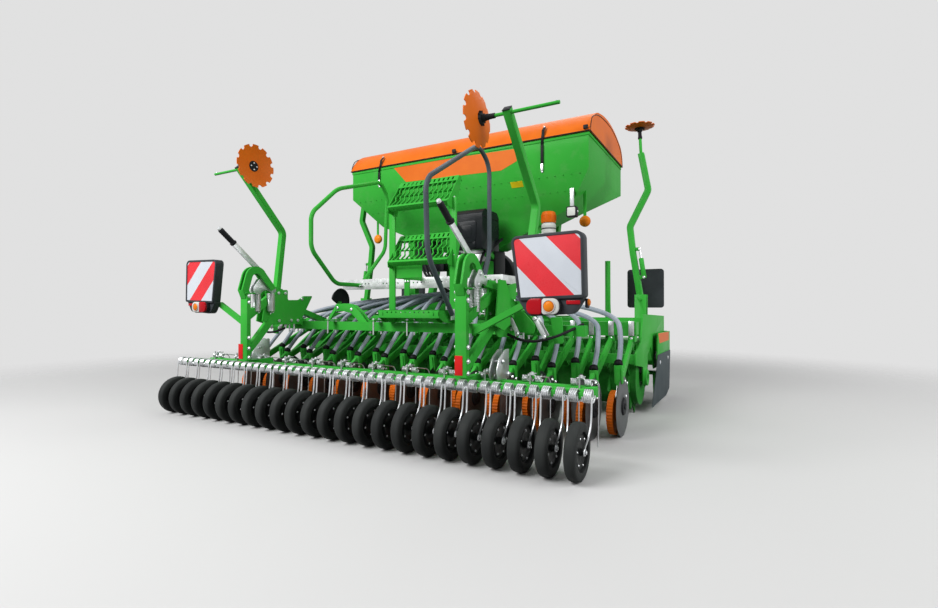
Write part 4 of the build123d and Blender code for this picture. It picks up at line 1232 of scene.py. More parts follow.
def makeHopperTrims(settings):
    piece = Piece(
        "hopperTrims", "machine", (orangePlastic, yellowFilm, zinc, hoseRubber, greenPaint), "green_paint")
    rear = settings["rear"]
    piece.take(pressed(settings["patch"], 0.0016, "Y", 0.006), [at(0, rear - 0.0006, 0)], 0)
    # Rivets on the sloping walls
    footForward, footUp = settings["foot"]
    slope = Vector((0, footForward - rear, footUp - settings["crease"]))
    outward = Vector((0, slope.z, -slope.y)).normalized()
    label = place(0.5295, rear, settings["crease"]) + slope * 0.19
    piece.take(slab(0.0014, 0.099, 0.051), [facing(label, outward)], 1)
    rivet = dome(0.0055, 0.0030, 8)
    for share in settings["rivetRows"]:
        line = place(0, rear, settings["crease"]) + slope * share
        reach = settings["halfWidth"] - settings["taper"] * share - 0.05
        count = settings["rivetCount"]
        spots = [Vector(((k / (count - 1) * 2 - 1) * reach, 0, 0)) for k in range(count)]
        piece.take(rivet, [facing(line + spot, outward) for spot in spots], 4)
    for x in (-0.025, 0.025):
        piece.take(knob(0.008, 0.005), [facing(place(x, rear, 1.750), backward)], 2)
    # Sheet edge folded along the rim, and a black strip along the lid's edge that paints the shade of the gap under it
    half = settings["halfWidth"]
    middle = (rear + settings["front"]) / 2
    deep = settings["front"] - rear
    piece.take(slab(2 * half + 0.012, 0.006, 0.022, 0.002), [at(0, rear - 0.002, settings["rim"] - 0.012)], 4)
    piece.pair(slab(0.006, deep, 0.022, 0.002), at(half + 0.002, middle, settings["rim"] - 0.012), 4)
    # Rubber straps over the lid's rear edge, hooked on the wall
    for x, foot, low in settings["straps"]:
        strap = placed(((x, 1.3900, 1.992), (foot, rear - 0.008, 1.94), (foot, rear - 0.010, low + 0.05)))
        for start, end in zip(strap, strap[1:]):
            piece.bar(start, end, *settings["strapSection"], 3, 0.0015, sides=here)
        hook = slab(0.020, 0.012, 0.055, 0.003)
        piece.take(hook, [at(foot, rear - 0.007, low + 0.028)], 2)
        piece.take(knob(0.009, 0.006), [facing(place(foot, rear - 0.001, low - 0.004), backward)], 2)
    piece.finished()

    lid = Piece("lidTrims", "hopper_lid", (hoseRubber, blackPlastic, zinc), "black_plastic")
    overhang, gapShadeUp = settings["overhang"], settings["gapShadeUp"]
    edge = half + overhang
    # A black strip along the lid's lower edge and sides: painted shade of the gap between lid and hopper
    lid.take(slab(2 * edge, 0.004, 0.007, 0.001), [at(0, rear - overhang - 0.0005, gapShadeUp)], 0)
    lid.pair(slab(0.004, deep + 2 * overhang, 0.007, 0.001), at(edge + 0.0005, middle, gapShadeUp), 0)
    for x, forward, up in ((0.0, rear - overhang - 0.006, 2.005), (edge - 0.030, rear - overhang - 0.004, 2.010)):
        lid.take(slab(0.034, 0.016, 0.030, 0.005), [at(x, forward, up)], 1)
    for x, _, _ in settings["straps"]:
        strap = placed(((x, 1.3915, 1.990), (x, 1.4030, 2.045), (x, 1.4360, 2.078)))
        for start, end in zip(strap, strap[1:]):
            lid.bar(start, end, *settings["strapSection"], 0, 0.0015, sides=here)
        lid.take(knob(0.008, 0.006), [facing(place(x, 1.4310, 2.078), (0, -0.7, 0.7))], 2)
    # End faces: a pressed rim that follows the hood's arc
    arc = [place(edge, forward, up) for forward, up in settings["endArc"]]
    lid.take(hose(arc, 0.0035, 5, 1), bothSides, 0)
    lid.finished()


makeHopperTrims(hopperSettings)
print("hopper trims made")


# Boarding steps: perforated ladder treads, walkway, lower step and the two hand rails
stepSettings = {
    "left": -0.050,
    "right": 0.425,
    "treads": (1.030, 1.400),
    "treadRear": 0.610,
    "treadFront": 0.755,
    "treadRise": 0.190,
    # Left, right, rear, front and up
    "walkway": (-0.830, 0.620, 1.000, 1.330, 0.960),
    "bearerX": (-0.640, 0.560),
    "railRadius": 0.016,
    "rightRailBend": 0.075,
    "leftRailBend": 0.050,
    "holeStep": 0.036,
    "stripCount": 12,
    "waveHeight": 0.0085,
    "stripHalf": 0.0032,
    "sheet": 0.004,
    # Across, then forward and up along each rail
    "leftRail": (-0.650, (
        (1.000, 0.915), (0.730, 0.915), (0.486, 1.155), (0.486, 1.410), (0.750, 1.640), (1.260, 1.805), (1.346, 1.700),
        (1.320, 1.230), (1.050, 0.958),
    )),
    "rightRail": (0.453, (
        (0.610, 0.690), (0.333, 1.040), (0.312, 1.480), (0.960, 1.860), (1.127, 1.760), (1.127, 1.120), (1.040, 0.940),
    )),
}


def drilled(shape, radius, length, spots, direction="X"):
    # The shape with round holes bored through it along X or Y
    drill = rod(-length / 2, length / 2, radius, 10)
    turn = identity if direction == "X" else Matrix.Rotation(math.radians(90), 4, "Z")
    return cut(shape, joined(drill, [Matrix.Translation(spot) @ turn for spot in spots]))


def makeSteps(settings):
    piece = Piece("boardingSteps", "machine", (greenPaint, aluminium, zinc), "green_paint")
    left, right = settings["left"], settings["right"]
    width, middle = right - left, (left + right) / 2
    sheet, holeStep = settings["sheet"], settings["holeStep"]
    # Lower step: a tray with a drilled lip, on two brackets
    slots = joined(slab(0.030, 0.010, 0.03), [
        Matrix.Translation((column * 0.046 - 0.207, row * 0.024 - 0.036, 0)) for column in range(10) for row in range(4)
    ])
    piece.take(cut(slab(width, 0.140, sheet, 0.001), slots), [at(middle, 0.570, 0.718)], 0)
    lip = drilled(
        slab(width, sheet, 0.052, 0.001), 0.0055, 0.03,
        [Vector((column * holeStep - 0.198, 0, 0.010)) for column in range(12)], "Y",
    )
    piece.take(lip, [at(middle, 0.502, 0.694)], 0)
    cheek = [(0.500, 0.720), (0.500, 0.672), (0.560, 0.640), (0.680, 0.633), (0.680, 0.720)]
    cheekX = (left + 0.0025, right - 0.0025, left + 0.040, right - 0.040)
    piece.take(pressed(cheek, 0.005, "X", 0.010), [at(x, 0, 0) for x in cheekX], 0)
    piece.take(slab(width, 0.005, 0.060, 0.001), [at(middle, 0.6405, 0.6700)], 0)
    # Ladder sides
    for x in (left - 0.006, right + 0.006):
        for start, end in (((0.660, 0.633), (0.660, 1.440)), ((0.660, 0.960), (1.010, 0.960))):
            piece.bar(place(x, *start), place(x, *end), 0.012, 0.050, 0, 0.002, sides=here)
    # Treads: wavy gratings in a tilted tray between cheeks
    rise, run = settings["treadRise"], settings["treadFront"] - settings["treadRear"]
    length = math.hypot(rise, run)
    for low in settings["treads"]:
        frameStart = place(middle, settings["treadRear"], low)
        frameEnd = frameStart + Vector((0, run, rise))
        direction = (frameEnd - frameStart).normalized()
        tray = along(frameStart, frameEnd)
        # In the tray's own axes X runs up the tread, Y across and Z away from its face
        strip = bmesh.new()
        bmesh.ops.create_grid(strip, x_segments=14, y_segments=1, size=0.5)
        for vert in strip.verts:
            wave = settings["waveHeight"] * math.sin((vert.co.x + 0.5) * math.tau * 3.0)
            edge = settings["stripHalf"] if vert.co.y > 0 else -settings["stripHalf"]
            vert.co = (vert.co.x * (length - 0.012), wave + edge, 0.013)
        thicken(strip, (0, 0, -0.010))
        stripCount = settings["stripCount"]
        offsets = [(column - (stripCount - 1) / 2) * (width - 0.020) / stripCount for column in range(stripCount)]
        piece.take(strip, [tray @ Matrix.Translation((0, offset, 0)) for offset in offsets], 0)
        for share in (-0.34, 0.0, 0.34):
            piece.take(slab(0.004, width - 0.006, 0.010), [tray @ Matrix.Translation((share * length, 0, -0.004))], 0)
        frontLip = drilled(
            slab(0.005, width, 0.040, 0.001), 0.0050, 0.03,
            [Vector((0, column * holeStep - 0.198, -0.004)) for column in range(12)],
        )
        piece.take(frontLip, [tray @ Matrix.Translation((-length / 2, 0, -0.004))], 0)
        piece.take(slab(0.018, width, sheet, 0.001), [tray @ Matrix.Translation((-length / 2 + 0.006, 0, 0.016))], 0)
        slots = joined(slab(0.030, 0.014, 0.030), [
            Matrix.Translation((0.002, column * holeStep - 0.198, 0)) for column in range(12)
        ])
        topLip = cut(slab(0.052, width, sheet, 0.001), slots)
        piece.take(topLip, [tray @ Matrix.Translation((length / 2 - 0.020, 0, 0.015))], 0)
        piece.take(slab(0.005, width, 0.050, 0.001), [tray @ Matrix.Translation((length / 2 + 0.004, 0, -0.010))], 0)
        side = pressed(
            [
                (0.604, low - 0.024), (0.600, low + 0.010), (0.742, low + 0.200), (0.772, low + 0.190),
                (0.700, low - 0.040),
            ],
            0.005, "X", 0.008,
        )
        piece.take(side, [at(left - 0.0005, 0, 0), at(right + 0.0005, 0, 0)], 0)
        for x in (left - 0.012, right + 0.012):
            piece.take(knob(0.008, 0.006), [at(x, 0.660, low + 0.040) @ (mirrored if x < 0 else identity)], 2)
    piece.take(slab(0.230, sheet, 0.100, 0.001), [at(0.070, 0.668, 0.985)], 0)
    # Walkway: aluminium floor with slots, and a drilled skirt along its rear edge
    wayLeft, wayRight, wayRear, wayFront, wayUp = settings["walkway"]
    wayMiddle, wayWidth = (wayLeft + wayRight) / 2, wayRight - wayLeft
    wayDepth, wayCentre = wayFront - wayRear, (wayRear + wayFront) / 2
    floor = slab(wayWidth, wayDepth, sheet, 0.001)
    slots = joined(slab(0.056, 0.022, 0.03), [
        Matrix.Translation((column * 0.092 - 0.644, row * 0.060 - 0.120, 0)) for column in range(15) for row in range(5)
    ])
    piece.take(cut(floor, slots), [at(wayMiddle, wayCentre, wayUp - 0.002)], 1)
    skirt = drilled(
        slab(wayWidth, sheet, 0.082, 0.001), 0.0065, 0.03,
        [Vector((column * holeStep - 0.702, 0, 0.004)) for column in range(40) if column % 8 > 1], "Y",
    )
    piece.take(skirt, [at(wayMiddle, wayRear + 0.001, wayUp - 0.040)], 1)
    for x in (-0.180, 0.470):
        piece.take(slab(0.050, 0.006, 0.130, 0.003), [at(x, wayRear - 0.004, wayUp - 0.070)], 0)
        for spot in (-0.012, 0.012):
            piece.take(knob(0.009, 0.006), [facing(place(x + spot, wayRear - 0.007, wayUp - 0.028), backward)], 2)
    ends = [at(x, wayCentre, wayUp - 0.030) for x in (wayLeft + 0.002, wayRight - 0.002)]
    piece.take(slab(sheet, wayDepth, 0.060, 0.001), ends, 1)
    for x in settings["bearerX"]:
        piece.bar(place(x, wayRear + 0.300, 0.930), place(x, 1.560, 0.930), 0.040, 0.054, 0, 0.003, sides=here)
    # The green rail and its feet on the walkway
    x, route = settings["leftRail"]
    line = [place(x, forward, up) for forward, up in route]
    piece.take(pipe(line, settings["railRadius"], settings["leftRailBend"], 5, 6), finish=0)
    for forward, up in ((1.000, 0.915), (1.050, 0.958)):
        piece.take(slab(0.070, 0.060, 0.006, 0.002), [at(x, forward, up - 0.004)], 2)
    piece.finished(["boarding_steps"])

    grey = Piece("handRail", "machine", (greyPaint, zinc), "zinc")
    x, route = settings["rightRail"]
    line = [place(x, forward, up) for forward, up in route]
    grey.take(pipe(line, settings["railRadius"], settings["rightRailBend"], 5, 6), finish=0)
    grey.take(slab(0.016, 0.060, 0.070, 0.002), [at(x - 0.010, 0.640, 0.690)], 1)
    for forward, up in ((0.6300, 0.7000), (0.6550, 0.6700)):
        grey.take(knob(0.009, 0.006), [at(x - 0.003, forward, up)], 1)
    grey.finished(["boarding_steps"])


makeSteps(stepSettings)
print("steps and rails made")

# Metering unit: fan, drive, distributor head, tool box, hand wash canister and work lamp
meteringSettings = {
    "headForward": 1.440,
    "headLow": 0.770,
    "headBolts": 8,
    "fan": (0, 2.060, 1.000),
    "guardRings": 4,
    "canister": (0.765, 1.500, 1.290),
    "capRidges": 24,
    "lamp": (0.946, 1.500, 1.440),
    # Left, right, rear, front, low and high
    "toolBox": (0.052, 0.330, 1.252, 1.540, 1.180, 1.490),
    # Half widths at foot and head, lift, drop, thickness, corner, edge and place of each raised panel
    "lidPanels": (
        (0.085, 0.095, 0.050, 0.090, 0.022, 0.030, 0.008, 0.004),
        (0.050, 0.056, 0.085, 0.125, 0.010, 0.020, 0.004, -0.006),
    ),
}


def makeMetering(settings):
    piece = Piece(
        "meteringUnit", "machine",
        (blackPlastic, zinc, greenPaint, orangePlastic, aluminium, whitePlastic), "black_plastic",
    )
    piece.take(slab(0.480, 0.200, 0.220, 0.012), [at(0, 1.760, 1.109)], 0)
    piece.take(slab(0.360, 0.030, 0.150, 0.008), [at(0, 1.655, 1.115)], 4)
    for x in (-0.15, 0.15):
        for up in (1.06, 1.17):
            piece.take(knob(0.010, 0.008), [facing(place(x, 1.640, up), backward)], 1)
    fan = turned(
        [
            (-0.070, 0.0), (-0.070, 0.110), (-0.062, 0.118), (-0.062, 0.225), (-0.050, 0.250), (-0.030, 0.255),
            (0.030, 0.255), (0.050, 0.250), (0.062, 0.225), (0.062, 0.120), (0.120, 0.118), (0.120, 0.0),
        ],
        40,
    )
    axle = facing(place(*settings["fan"]), forwards)
    piece.take(fan, [axle], 0)
    for number in range(settings["guardRings"]):
        inner = 0.024 * number + 0.022
        outer = 0.024 * number + 0.028
        guard = turned([(0.121, inner), (0.124, inner), (0.124, outer), (0.121, outer), (0.121, inner)], 24)
        piece.take(guard, [axle], 1)
    piece.take(slab(0.200, 0.150, 0.140, 0.015), [at(0, 1.925, 1.080)], 0)
    # Distributor head with a bolted rim, its riser and the air duct
    head = turned(
        [
            (0.0, 0.0), (0.0, 0.142), (0.006, 0.150), (0.075, 0.150), (0.081, 0.142), (0.084, 0.112), (0.104, 0.108),
            (0.110, 0.098), (0.110, 0.052), (0.130, 0.050), (0.290, 0.050), (0.290, 0.0),
        ],
        36,
    )
    headForward = settings["headForward"]
    headAxle = at(0, headForward, settings["headLow"]) @ upright
    piece.take(head, [headAxle], 0)
    bolts = ring(settings["headBolts"], (0.0815, 0, 0.130))
    piece.take(knob(0.007, 0.006), [headAxle @ spot for spot in bolts], 1)
    piece.bar(place(0, headForward - 0.050, 1.060), place(0, 1.670, 1.060), 0.100, 0.100, 0, 0.012, sides=here)
    piece.take(slab(0.080, 0.240, 0.127, 0.004), [at(0, 1.560, 0.7065)], 2)
    # Tool box: glossy moulded box with a raised panel in its lid and a hinge line
    left, right, rear, front, low, high = settings["toolBox"]
    middle = (left + right) / 2
    box = Piece("toolBox", "machine", (moulding, hoseRubber, greenPaint), "black_plastic")
    outline = [
        (rear, low + 0.015), (rear + 0.012, low), (front, low), (front, high - 0.040), (front - 0.040, high),
        (rear + 0.040, high), (rear, high - 0.035),
    ]
    shape = pressed(outline, right - left, "X", 0.030)
    rims = [line for line in shape.edges if abs(line.verts[0].co.x - line.verts[1].co.x) < 0.0001]
    roundEdges(shape, rims, 0.045, 5)
    box.take(shape, [at(middle, 0, 0)], 0)
    for foot, head, lift, drop, thickness, corner, edge, forward in settings["lidPanels"]:
        panel = [
            (middle - foot, low + lift), (middle + foot, low + lift), (middle + head, high - drop),
            (middle - head, high - drop),
        ]
        box.take(pressed(panel, thickness, "Y", corner, edge), [at(0, rear + forward, 0)], 0)
    box.take(slab(right - left + 0.006, 0.012, 0.010, 0.003), [at(middle, rear + 0.060, high - 0.001)], 1)
    seams = [at(x, (rear + front) / 2, high - 0.060) for x in (left - 0.001, right + 0.001)]
    box.take(slab(0.006, 0.270, 0.012, 0.002), seams, 1)
    for x in (middle - 0.07, middle + 0.07):
        box.take(slab(0.028, 0.014, 0.046, 0.004), [at(x, rear - 0.004, low + 0.034)], 0)
    box.bar(place(0.200, 1.550, 1.205), place(0.200, 1.660, 1.155), 0.060, 0.040, 2, 0.003, sides=here)
    box.finished(["metering_unit"])
    # Canister with its cap, on a bracket
    across, forward, low = settings["canister"]
    stand = at(across, forward, low) @ upright
    canister = turned(
        [
            (0.0, 0.0), (0.0, 0.046), (0.006, 0.053), (0.030, 0.054), (0.034, 0.051), (0.040, 0.051), (0.044, 0.054),
            (0.068, 0.054), (0.080, 0.046), (0.088, 0.044), (0.088, 0.0),
        ],
        24,
    )
    piece.take(canister, [stand], 5)
    cap = turned(
        [
            (0.082, 0.0), (0.082, 0.053), (0.086, 0.055), (0.150, 0.053), (0.162, 0.049), (0.167, 0.040),
            (0.167, 0.0),
        ],
        32,
    )
    piece.take(cap, [stand], 3)
    ridges = ring(settings["capRidges"], (0.118, 0, 0.0545))
    piece.take(slab(0.044, 0.003, 0.004), [stand @ spot for spot in ridges], 3)
    piece.take(slab(0.110, 0.110, 0.006, 0.002), [at(across, forward, low - 0.003)], 1)
    piece.bar(place(0.580, 1.590, low - 0.021), place(across, forward, low - 0.021), 0.040, 0.030, 2, 0.003, sides=here)
    band = turned([(0.034, 0.0520), (0.034, 0.0550), (0.040, 0.0550), (0.040, 0.0520), (0.034, 0.0520)], 24)
    piece.take(band, [stand], 0)
    piece.finished(["metering_unit"])
    # Work lamp hung under the hopper
    lamp = Piece("workLamp", "machine", (blackPlastic, whitePlastic, zinc), "black_plastic")
    across, forward, up = settings["lamp"]
    housing = oblong(across - 0.038, across + 0.038, up - 0.040, up + 0.040)
    lamp.take(pressed(housing, 0.050, "Y", 0.010, 0.003), [at(0, forward + 0.005, 0)], 0)
    pane = oblong(across - 0.030, across + 0.030, up - 0.031, up + 0.031)
    lamp.take(pressed(pane, 0.006, "Y", 0.008, 0.002), [at(0, forward - 0.021, 0)], 1)
    fins = [at(across, forward + 0.034, up - 0.030 + k * 0.012) for k in range(6)]
    lamp.take(slab(0.060, 0.012, 0.004, 0.001), fins, 0)
    lamp.take(slab(0.030, 0.005, 0.220, 0.001), [at(across, forward + 0.0005, 1.590)], 2)
    lamp.take(knob(0.009, 0.008), [at(across + 0.038, forward, up)], 2)
    lamp.finished(["metering_unit"])


makeMetering(meteringSettings)
print("metering unit made")

# Fittings of the drill frame: bolts, reflectors, side plates, straps, the curved arm and the dished shield
fittingSettings = {
    "postX": 0.825,
    "postHalf": 0.0325,
    "postRear": 0.080,
    "boltForward": 0.090,
    "boltHeights": (0.811, 0.770, 0.536, 0.466, 0.407),
    "reflectorX": (0.815, -0.8525),
    "reflectorUp": 0.445,
    "plates": (
        {
            "across": -0.872,
            "corner": 0.012,
            "outline": (
                (0.351, 0.860), (0.470, 0.864), (0.470, 0.790), (0.571, 0.792), (0.615, 0.822), (0.707, 0.824),
                (0.579, 0.613), (0.369, 0.613),
            ),
            "holes": ((0, 0.420, 0.735), (0, 0.520, 0.700)),
        },
        {
            "across": 0.872,
            "corner": 0.014,
            "outline": ((0.343, 0.828), (0.648, 0.880), (0.606, 0.561), (0.396, 0.572), (0.343, 0.628)),
            "holes": ((0, 0.430, 0.672), (0, 0.545, 0.760)),
        },
    ),
    "plateBolts": ((0.385, 0.838), (0.445, 0.838), (0.390, 0.640), (0.500, 0.640), (0.560, 0.640), (0.600, 0.800)),
    "rightLoweredFrom": 0.55,
    "rightLowered": 0.030,
    "clampX": (0.905, 0.955, 0.560, 0.140),
    "clampForward": (0.562, 0.644),
    "strapForward": 0.500,
    "straps": (((0.883, 0.732), (0.957, 0.587)), ((1.058, 0.674), (1.114, 0.576))),
    "cheek": ((0.900, 0.720), (0.985, 0.712), (1.055, 0.640), (1.050, 0.590), (0.962, 0.596)),
    "drop": ((1.105, 0.680), (1.170, 0.680), (1.180, 0.535), (1.125, 0.530)),
    "line": (
        (0.900, 0.470, 0.585), (0.960, 0.455, 0.560), (1.050, 0.450, 0.548), (1.120, 0.470, 0.560),
        (1.200, 0.540, 0.590), (1.260, 0.700, 0.640),
    ),
    "lineRadius": 0.0085,
    "shields": ((0, 1.600, 0), (-0.830, 1.600, 0), (-0.370, 1.600, 0.260)),
    "shadeBundles": ((-0.34, 0.0), (-0.30, 0.02), (-0.26, 0.05), (-0.21, 0.03), (0.30, 0.02), (0.35, 0.0)),
    "shadeBundleRadius": 0.011,
    "arm": (
        (-0.600, 0.760), (-0.500, 0.766), (-0.430, 0.752), (-0.370, 0.710), (-0.305, 0.640), (-0.225, 0.560),
        (-0.235, 0.532), (-0.275, 0.532), (-0.345, 0.600), (-0.405, 0.664), (-0.450, 0.696), (-0.520, 0.708),
        (-0.600, 0.706),
    ),
    "armPins": ((-0.575, 0.733), (-0.440, 0.722), (-0.262, 0.560)),
    "dishAt": (-0.690, 0.820, 0.790),
    "dishTip": -32,
    "dish": (
        (-0.022, 0), (-0.022, 0.060), (-0.012, 0.082), (0.010, 0.095), (0.013, 0.092), (-0.008, 0.078),
        (-0.016, 0.058), (-0.016, 0),
    ),
    "dishCut": -0.030,
}


def makeFrameFittings(settings):
    piece = Piece(
        "frameFittings", "machine",
        (greenPaint, zinc, brightSteel, hoseRubber, redPlastic, blackPlastic), "green_paint",
    )
    x, half = settings["postX"], settings["postHalf"]
    for up in settings["boltHeights"]:
        for edge, turn in ((x + half, identity), (x - half, mirrored)):
            spot = at(edge, settings["boltForward"], up) @ turn
            piece.pair(rod(0, 0.0025, 0.0135, 14), spot, 1)
            piece.pair(knob(0.0095, 0.011), spot, 2)
    for across in settings["reflectorX"]:
        spot = at(across, settings["postRear"] - 0.0085, settings["reflectorUp"])
        piece.take(slab(0.044, 0.004, 0.098, 0.0015), [spot], 4)
    # Slim post body and the plate on its head
    piece.pair(slab(2 * half + 0.001, 0.031, 0.4445, 0.003), at(x, 0.0880, 0.60775), 0)
    piece.pair(slab(2 * half + 0.010, 0.070, 0.008, 0.002), at(x, 0.098, 0.829), 0)
    # Side plates beside the posts, with their bolts
    for plate in settings["plates"]:
        holes = joined(rod(-0.03, 0.03, 0.017, 16), [at(*spot) for spot in plate["holes"]])
        shape = cut(pressed(plate["outline"], 0.008, "X", plate["corner"]), holes)
        piece.take(shape, [at(plate["across"], 0, 0)], 0)
    for forward, up in settings["plateBolts"]:
        rightUp = up - settings["rightLowered"] if forward > settings["rightLoweredFrom"] else up
        piece.take(knob(0.012, 0.011), [at(-0.868, forward, up), at(0.876, forward, rightUp)], 2)
    # Clamps with threaded ends over the rear tube
    for across in settings["clampX"]:
        for forward in settings["clampForward"]:
            piece.pair(rod(-0.052, 0.058, 0.006, 10), at(across, forward, 0.603) @ upright, 1)
            piece.pair(knob(0.0105, 0.010), at(across, forward, 0.650) @ upright, 2)
        piece.pair(slab(0.036, 0.112, 0.008, 0.002), at(across, 0.603, 0.646), 0)
    # Parallel links under the boards: bright straps round green cheeks
    strapForward = settings["strapForward"]
    for start, end in settings["straps"]:
        for forward in (strapForward - 0.022, strapForward + 0.022):
            piece.bar(place(start[0], forward, start[1]), place(end[0], forward, end[1]), 0.006, 0.026, 2, 0.002)
        for across, up in (start, end):
            piece.pair(knob(0.012, 0.012), facing(place(across, strapForward - 0.025, up), backward), 1)
    piece.bar(place(0.870, strapForward, 0.736), place(0.985, strapForward, 0.726), 0.030, 0.012, 2, 0.003)
    cheek = pressed(settings["cheek"], 0.008, "Y", 0.012)
    piece.pair(cheek, at(0, strapForward + 0.036, 0), 0)
    piece.pair(cheek, at(0, strapForward - 0.010, 0), 0)
    piece.pair(pressed(settings["drop"], 0.010, "Y", 0.010), at(0, 0.600, 0), 0)
    piece.take(hose(placed(settings["line"]), settings["lineRadius"], 8, 1), bothSides, 3)
    # Shields under the walkway, and black hoses and two black blocks behind the steps that paint the deep shade there,
    # where the real hoses run
    shield = pressed(oblong(0.170, 0.620, 0.690, 0.860), 0.004, "Y", 0.015)
    piece.take(shield, [at(*spot) for spot in settings["shields"]], 0)
    # Black hoses along the real hoses' path, made black to paint the shade they lie in
    for start, lift in settings["shadeBundles"]:
        shadeBundle = placed((
            (start, 1.560, 1.290 + lift), (start - 0.03, 1.420, 1.200 + lift), (start * 0.8, 1.350, 1.020),
            (start * 0.6, 1.420, 0.930), (start * 0.5, 1.600, 0.880 + lift),
        ))
        piece.take(hose(shadeBundle, settings["shadeBundleRadius"], 6, 1), finish=3)
    # Two black blocks behind them: painted shade, dark fill where the machine lies in shadow
    piece.take(slab(0.150, 0.100, 0.170, 0.012), [at(-0.330, 1.480, 1.250)], 5)
    piece.take(slab(0.220, 0.080, 0.100, 0.012), [at(-0.240, 1.480, 1.090)], 5)
    # Curved arm and the dished shield beside the left rail's foot
    piece.take(pressed(settings["arm"], 0.010, "Y", 0.012, 0.0015), [at(0, 0.680, 0), at(0, 0.720, 0)], 0)
    for across, up in settings["armPins"]:
        piece.take(rod(-0.026, 0.026, 0.009, 12), [facing(place(across, 0.700, up), forwards)], 1)
        piece.take(knob(0.012, 0.008), [facing(place(across, 0.676, up), backward)], 2)
    dish = turned(settings["dish"], 24)
    bmesh.ops.bisect_plane(
        dish, geom=dish.verts[:] + dish.edges[:] + dish.faces[:], plane_co=(0, 0, settings["dishCut"]),
        plane_no=(0, 0, -1), clear_outer=True,
    )
    bmesh.ops.holes_fill(dish, edges=[line for line in dish.edges if line.is_boundary])
    tip = Matrix.Rotation(math.radians(settings["dishTip"]), 4, "X")
    piece.take(dish, [at(*settings["dishAt"]) @ tip], 5)
    piece.bar(place(-0.690, 0.820, 0.780), place(-0.690, 0.700, 0.640), 0.030, 0.012, 0, 0.002, sides=here)
    piece.finished()


makeFrameFittings(fittingSettings)
print("frame fittings made")

# Side guards: rubber flaps held by dome bolts, and a blank orange patch above them
guardSettings = {
    "flap": ((1.829, 0.385), (2.500, 0.375), (2.430, 0.060), (2.250, 0.025), (1.551, 0.043), (1.732, 0.241)),
    "patch": ((1.866, 0.542), (2.440, 0.532), (2.440, 0.462), (1.925, 0.464)),
    "inner": 1.490,
    "thickness": 0.0052,
    "patchSide": 1.4904,
    "boltForward": (1.925, 2.350),
    "boltUp": 0.322,
}


def makeGuards(settings):
    piece = Piece("sideFlaps", "machine", (flapRubber, brightSteel, orangePlastic), "flap_rubber")
    thickness = settings["thickness"]
    flap = pressed(settings["flap"], thickness, "X", 0.012, 0.001)
    piece.pair(flap, at(settings["inner"] + 0.0027, 0, 0), 0)
    for forward in settings["boltForward"]:
        spot = at(settings["inner"] + thickness, forward, settings["boltUp"])
        piece.pair(dome(0.0160, 0.0044, 14), spot, 1)
    piece.pair(pressed(settings["patch"], 0.001, "X", 0.004), at(settings["patchSide"], 0, 0), 2)
    piece.finished(["side_flaps"])


makeGuards(guardSettings)
print("guards made")


# Drill frame: the CAD node's own shape with slim posts and slotted head arches
frameSettings = {
    "postX": 0.825,
    # Half width, rear, front, low and high of what is cut away
    "postBox": (0.036, 0.070, 0.190, 0.3865, 0.8290),
    "slotBox": (0.013, 0.010, 0.330, 0.850, 1.040),
    "braces": (
        ((0.835, 0.096, 0.429), (0.860, 0.230, 0.556)),
        ((0.835, 0.096, 0.667), (0.860, 0.230, 0.749)),
    ),
    "edge": 0.003,
}


def boxBetween(low, high):
    shape = slab(*(high - low))
    bmesh.ops.translate(shape, vec=(low + high) / 2, verts=shape.verts)
    return shape


def makeDrillFrame(settings):
    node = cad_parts["drill_frame"]
    shape = bmesh.new()
    shape.from_mesh(node.data)
    bmesh.ops.remove_doubles(shape, verts=shape.verts, dist=edgeSettings["weld"])
    bmesh.ops.dissolve_limit(shape, angle_limit=math.radians(0.5), verts=shape.verts, edges=shape.edges)
    for half, rear, front, low, high in (settings["postBox"], settings["slotBox"]):
        for centre in (settings["postX"], -settings["postX"]):
            shape = cut(shape, boxBetween(place(centre - half, rear, low), place(centre + half, front, high)))
    piece = Piece("drillFrame", "machine", (greenPaint,), "green_paint")
    piece.take(shape, finish=0)
    for start, end in settings["braces"]:
        piece.bar(place(*start), place(*end), 0.030, 0.050)
    made = piece.finished(["drill_frame"])
    addEdges(made, settings["edge"])
    addSmoothing(made)


makeDrillFrame(frameSettings)
print("drill frame made")


# Camera at the photograph's viewpoint
cameraSettings = {
    "place": (2.060, -2.053, 0.730),
    "azimuth": 29.167,
    "pitch": 0.489,
    "focalPixels": 495.6,
    "frameWidth": 938,
    "sensorWidth": 36.0,
}


def makeCamera(settings):
    data = bpy.data.cameras.new("camera")
    data.sensor_width = settings["sensorWidth"]
    data.lens = settings["focalPixels"] / settings["frameWidth"] * settings["sensorWidth"]
    camera = bpy.data.objects.new("camera", data)
    bpy.context.scene.collection.objects.link(camera)
    camera.location = place(*settings["place"])
    camera.rotation_euler = (math.radians(90 + settings["pitch"]), 0, math.radians(settings["azimuth"]))
    bpy.context.scene.camera = camera


makeCamera(cameraSettings)

# Pale studio: a floor that fades into the even backdrop, and large soft lamps
studioSettings = {
    "backdrop": (0.752, 0.752, 0.752),
    "floorColour": (0.565, 0.565, 0.565),
    "floorBounce": (0.14, 0.14, 0.14),
    "floorRoughness": 0.9,
    "floorRadius": 9.0,
    "fadeStart": 2.6,
    "fadeEnd": 6.5,
    "ambient": 0.22,
    "lamps": (
        {"from": (-2.2, -6.0, 5.0), "size": 4.0, "power": 600.0},
        {"from": (6.5, -1.0, 3.6), "size": 4.0, "power": 260.0},
        {"from": (0.5, 3.5, 7.0), "size": 5.0, "power": 130.0},
    ),
}


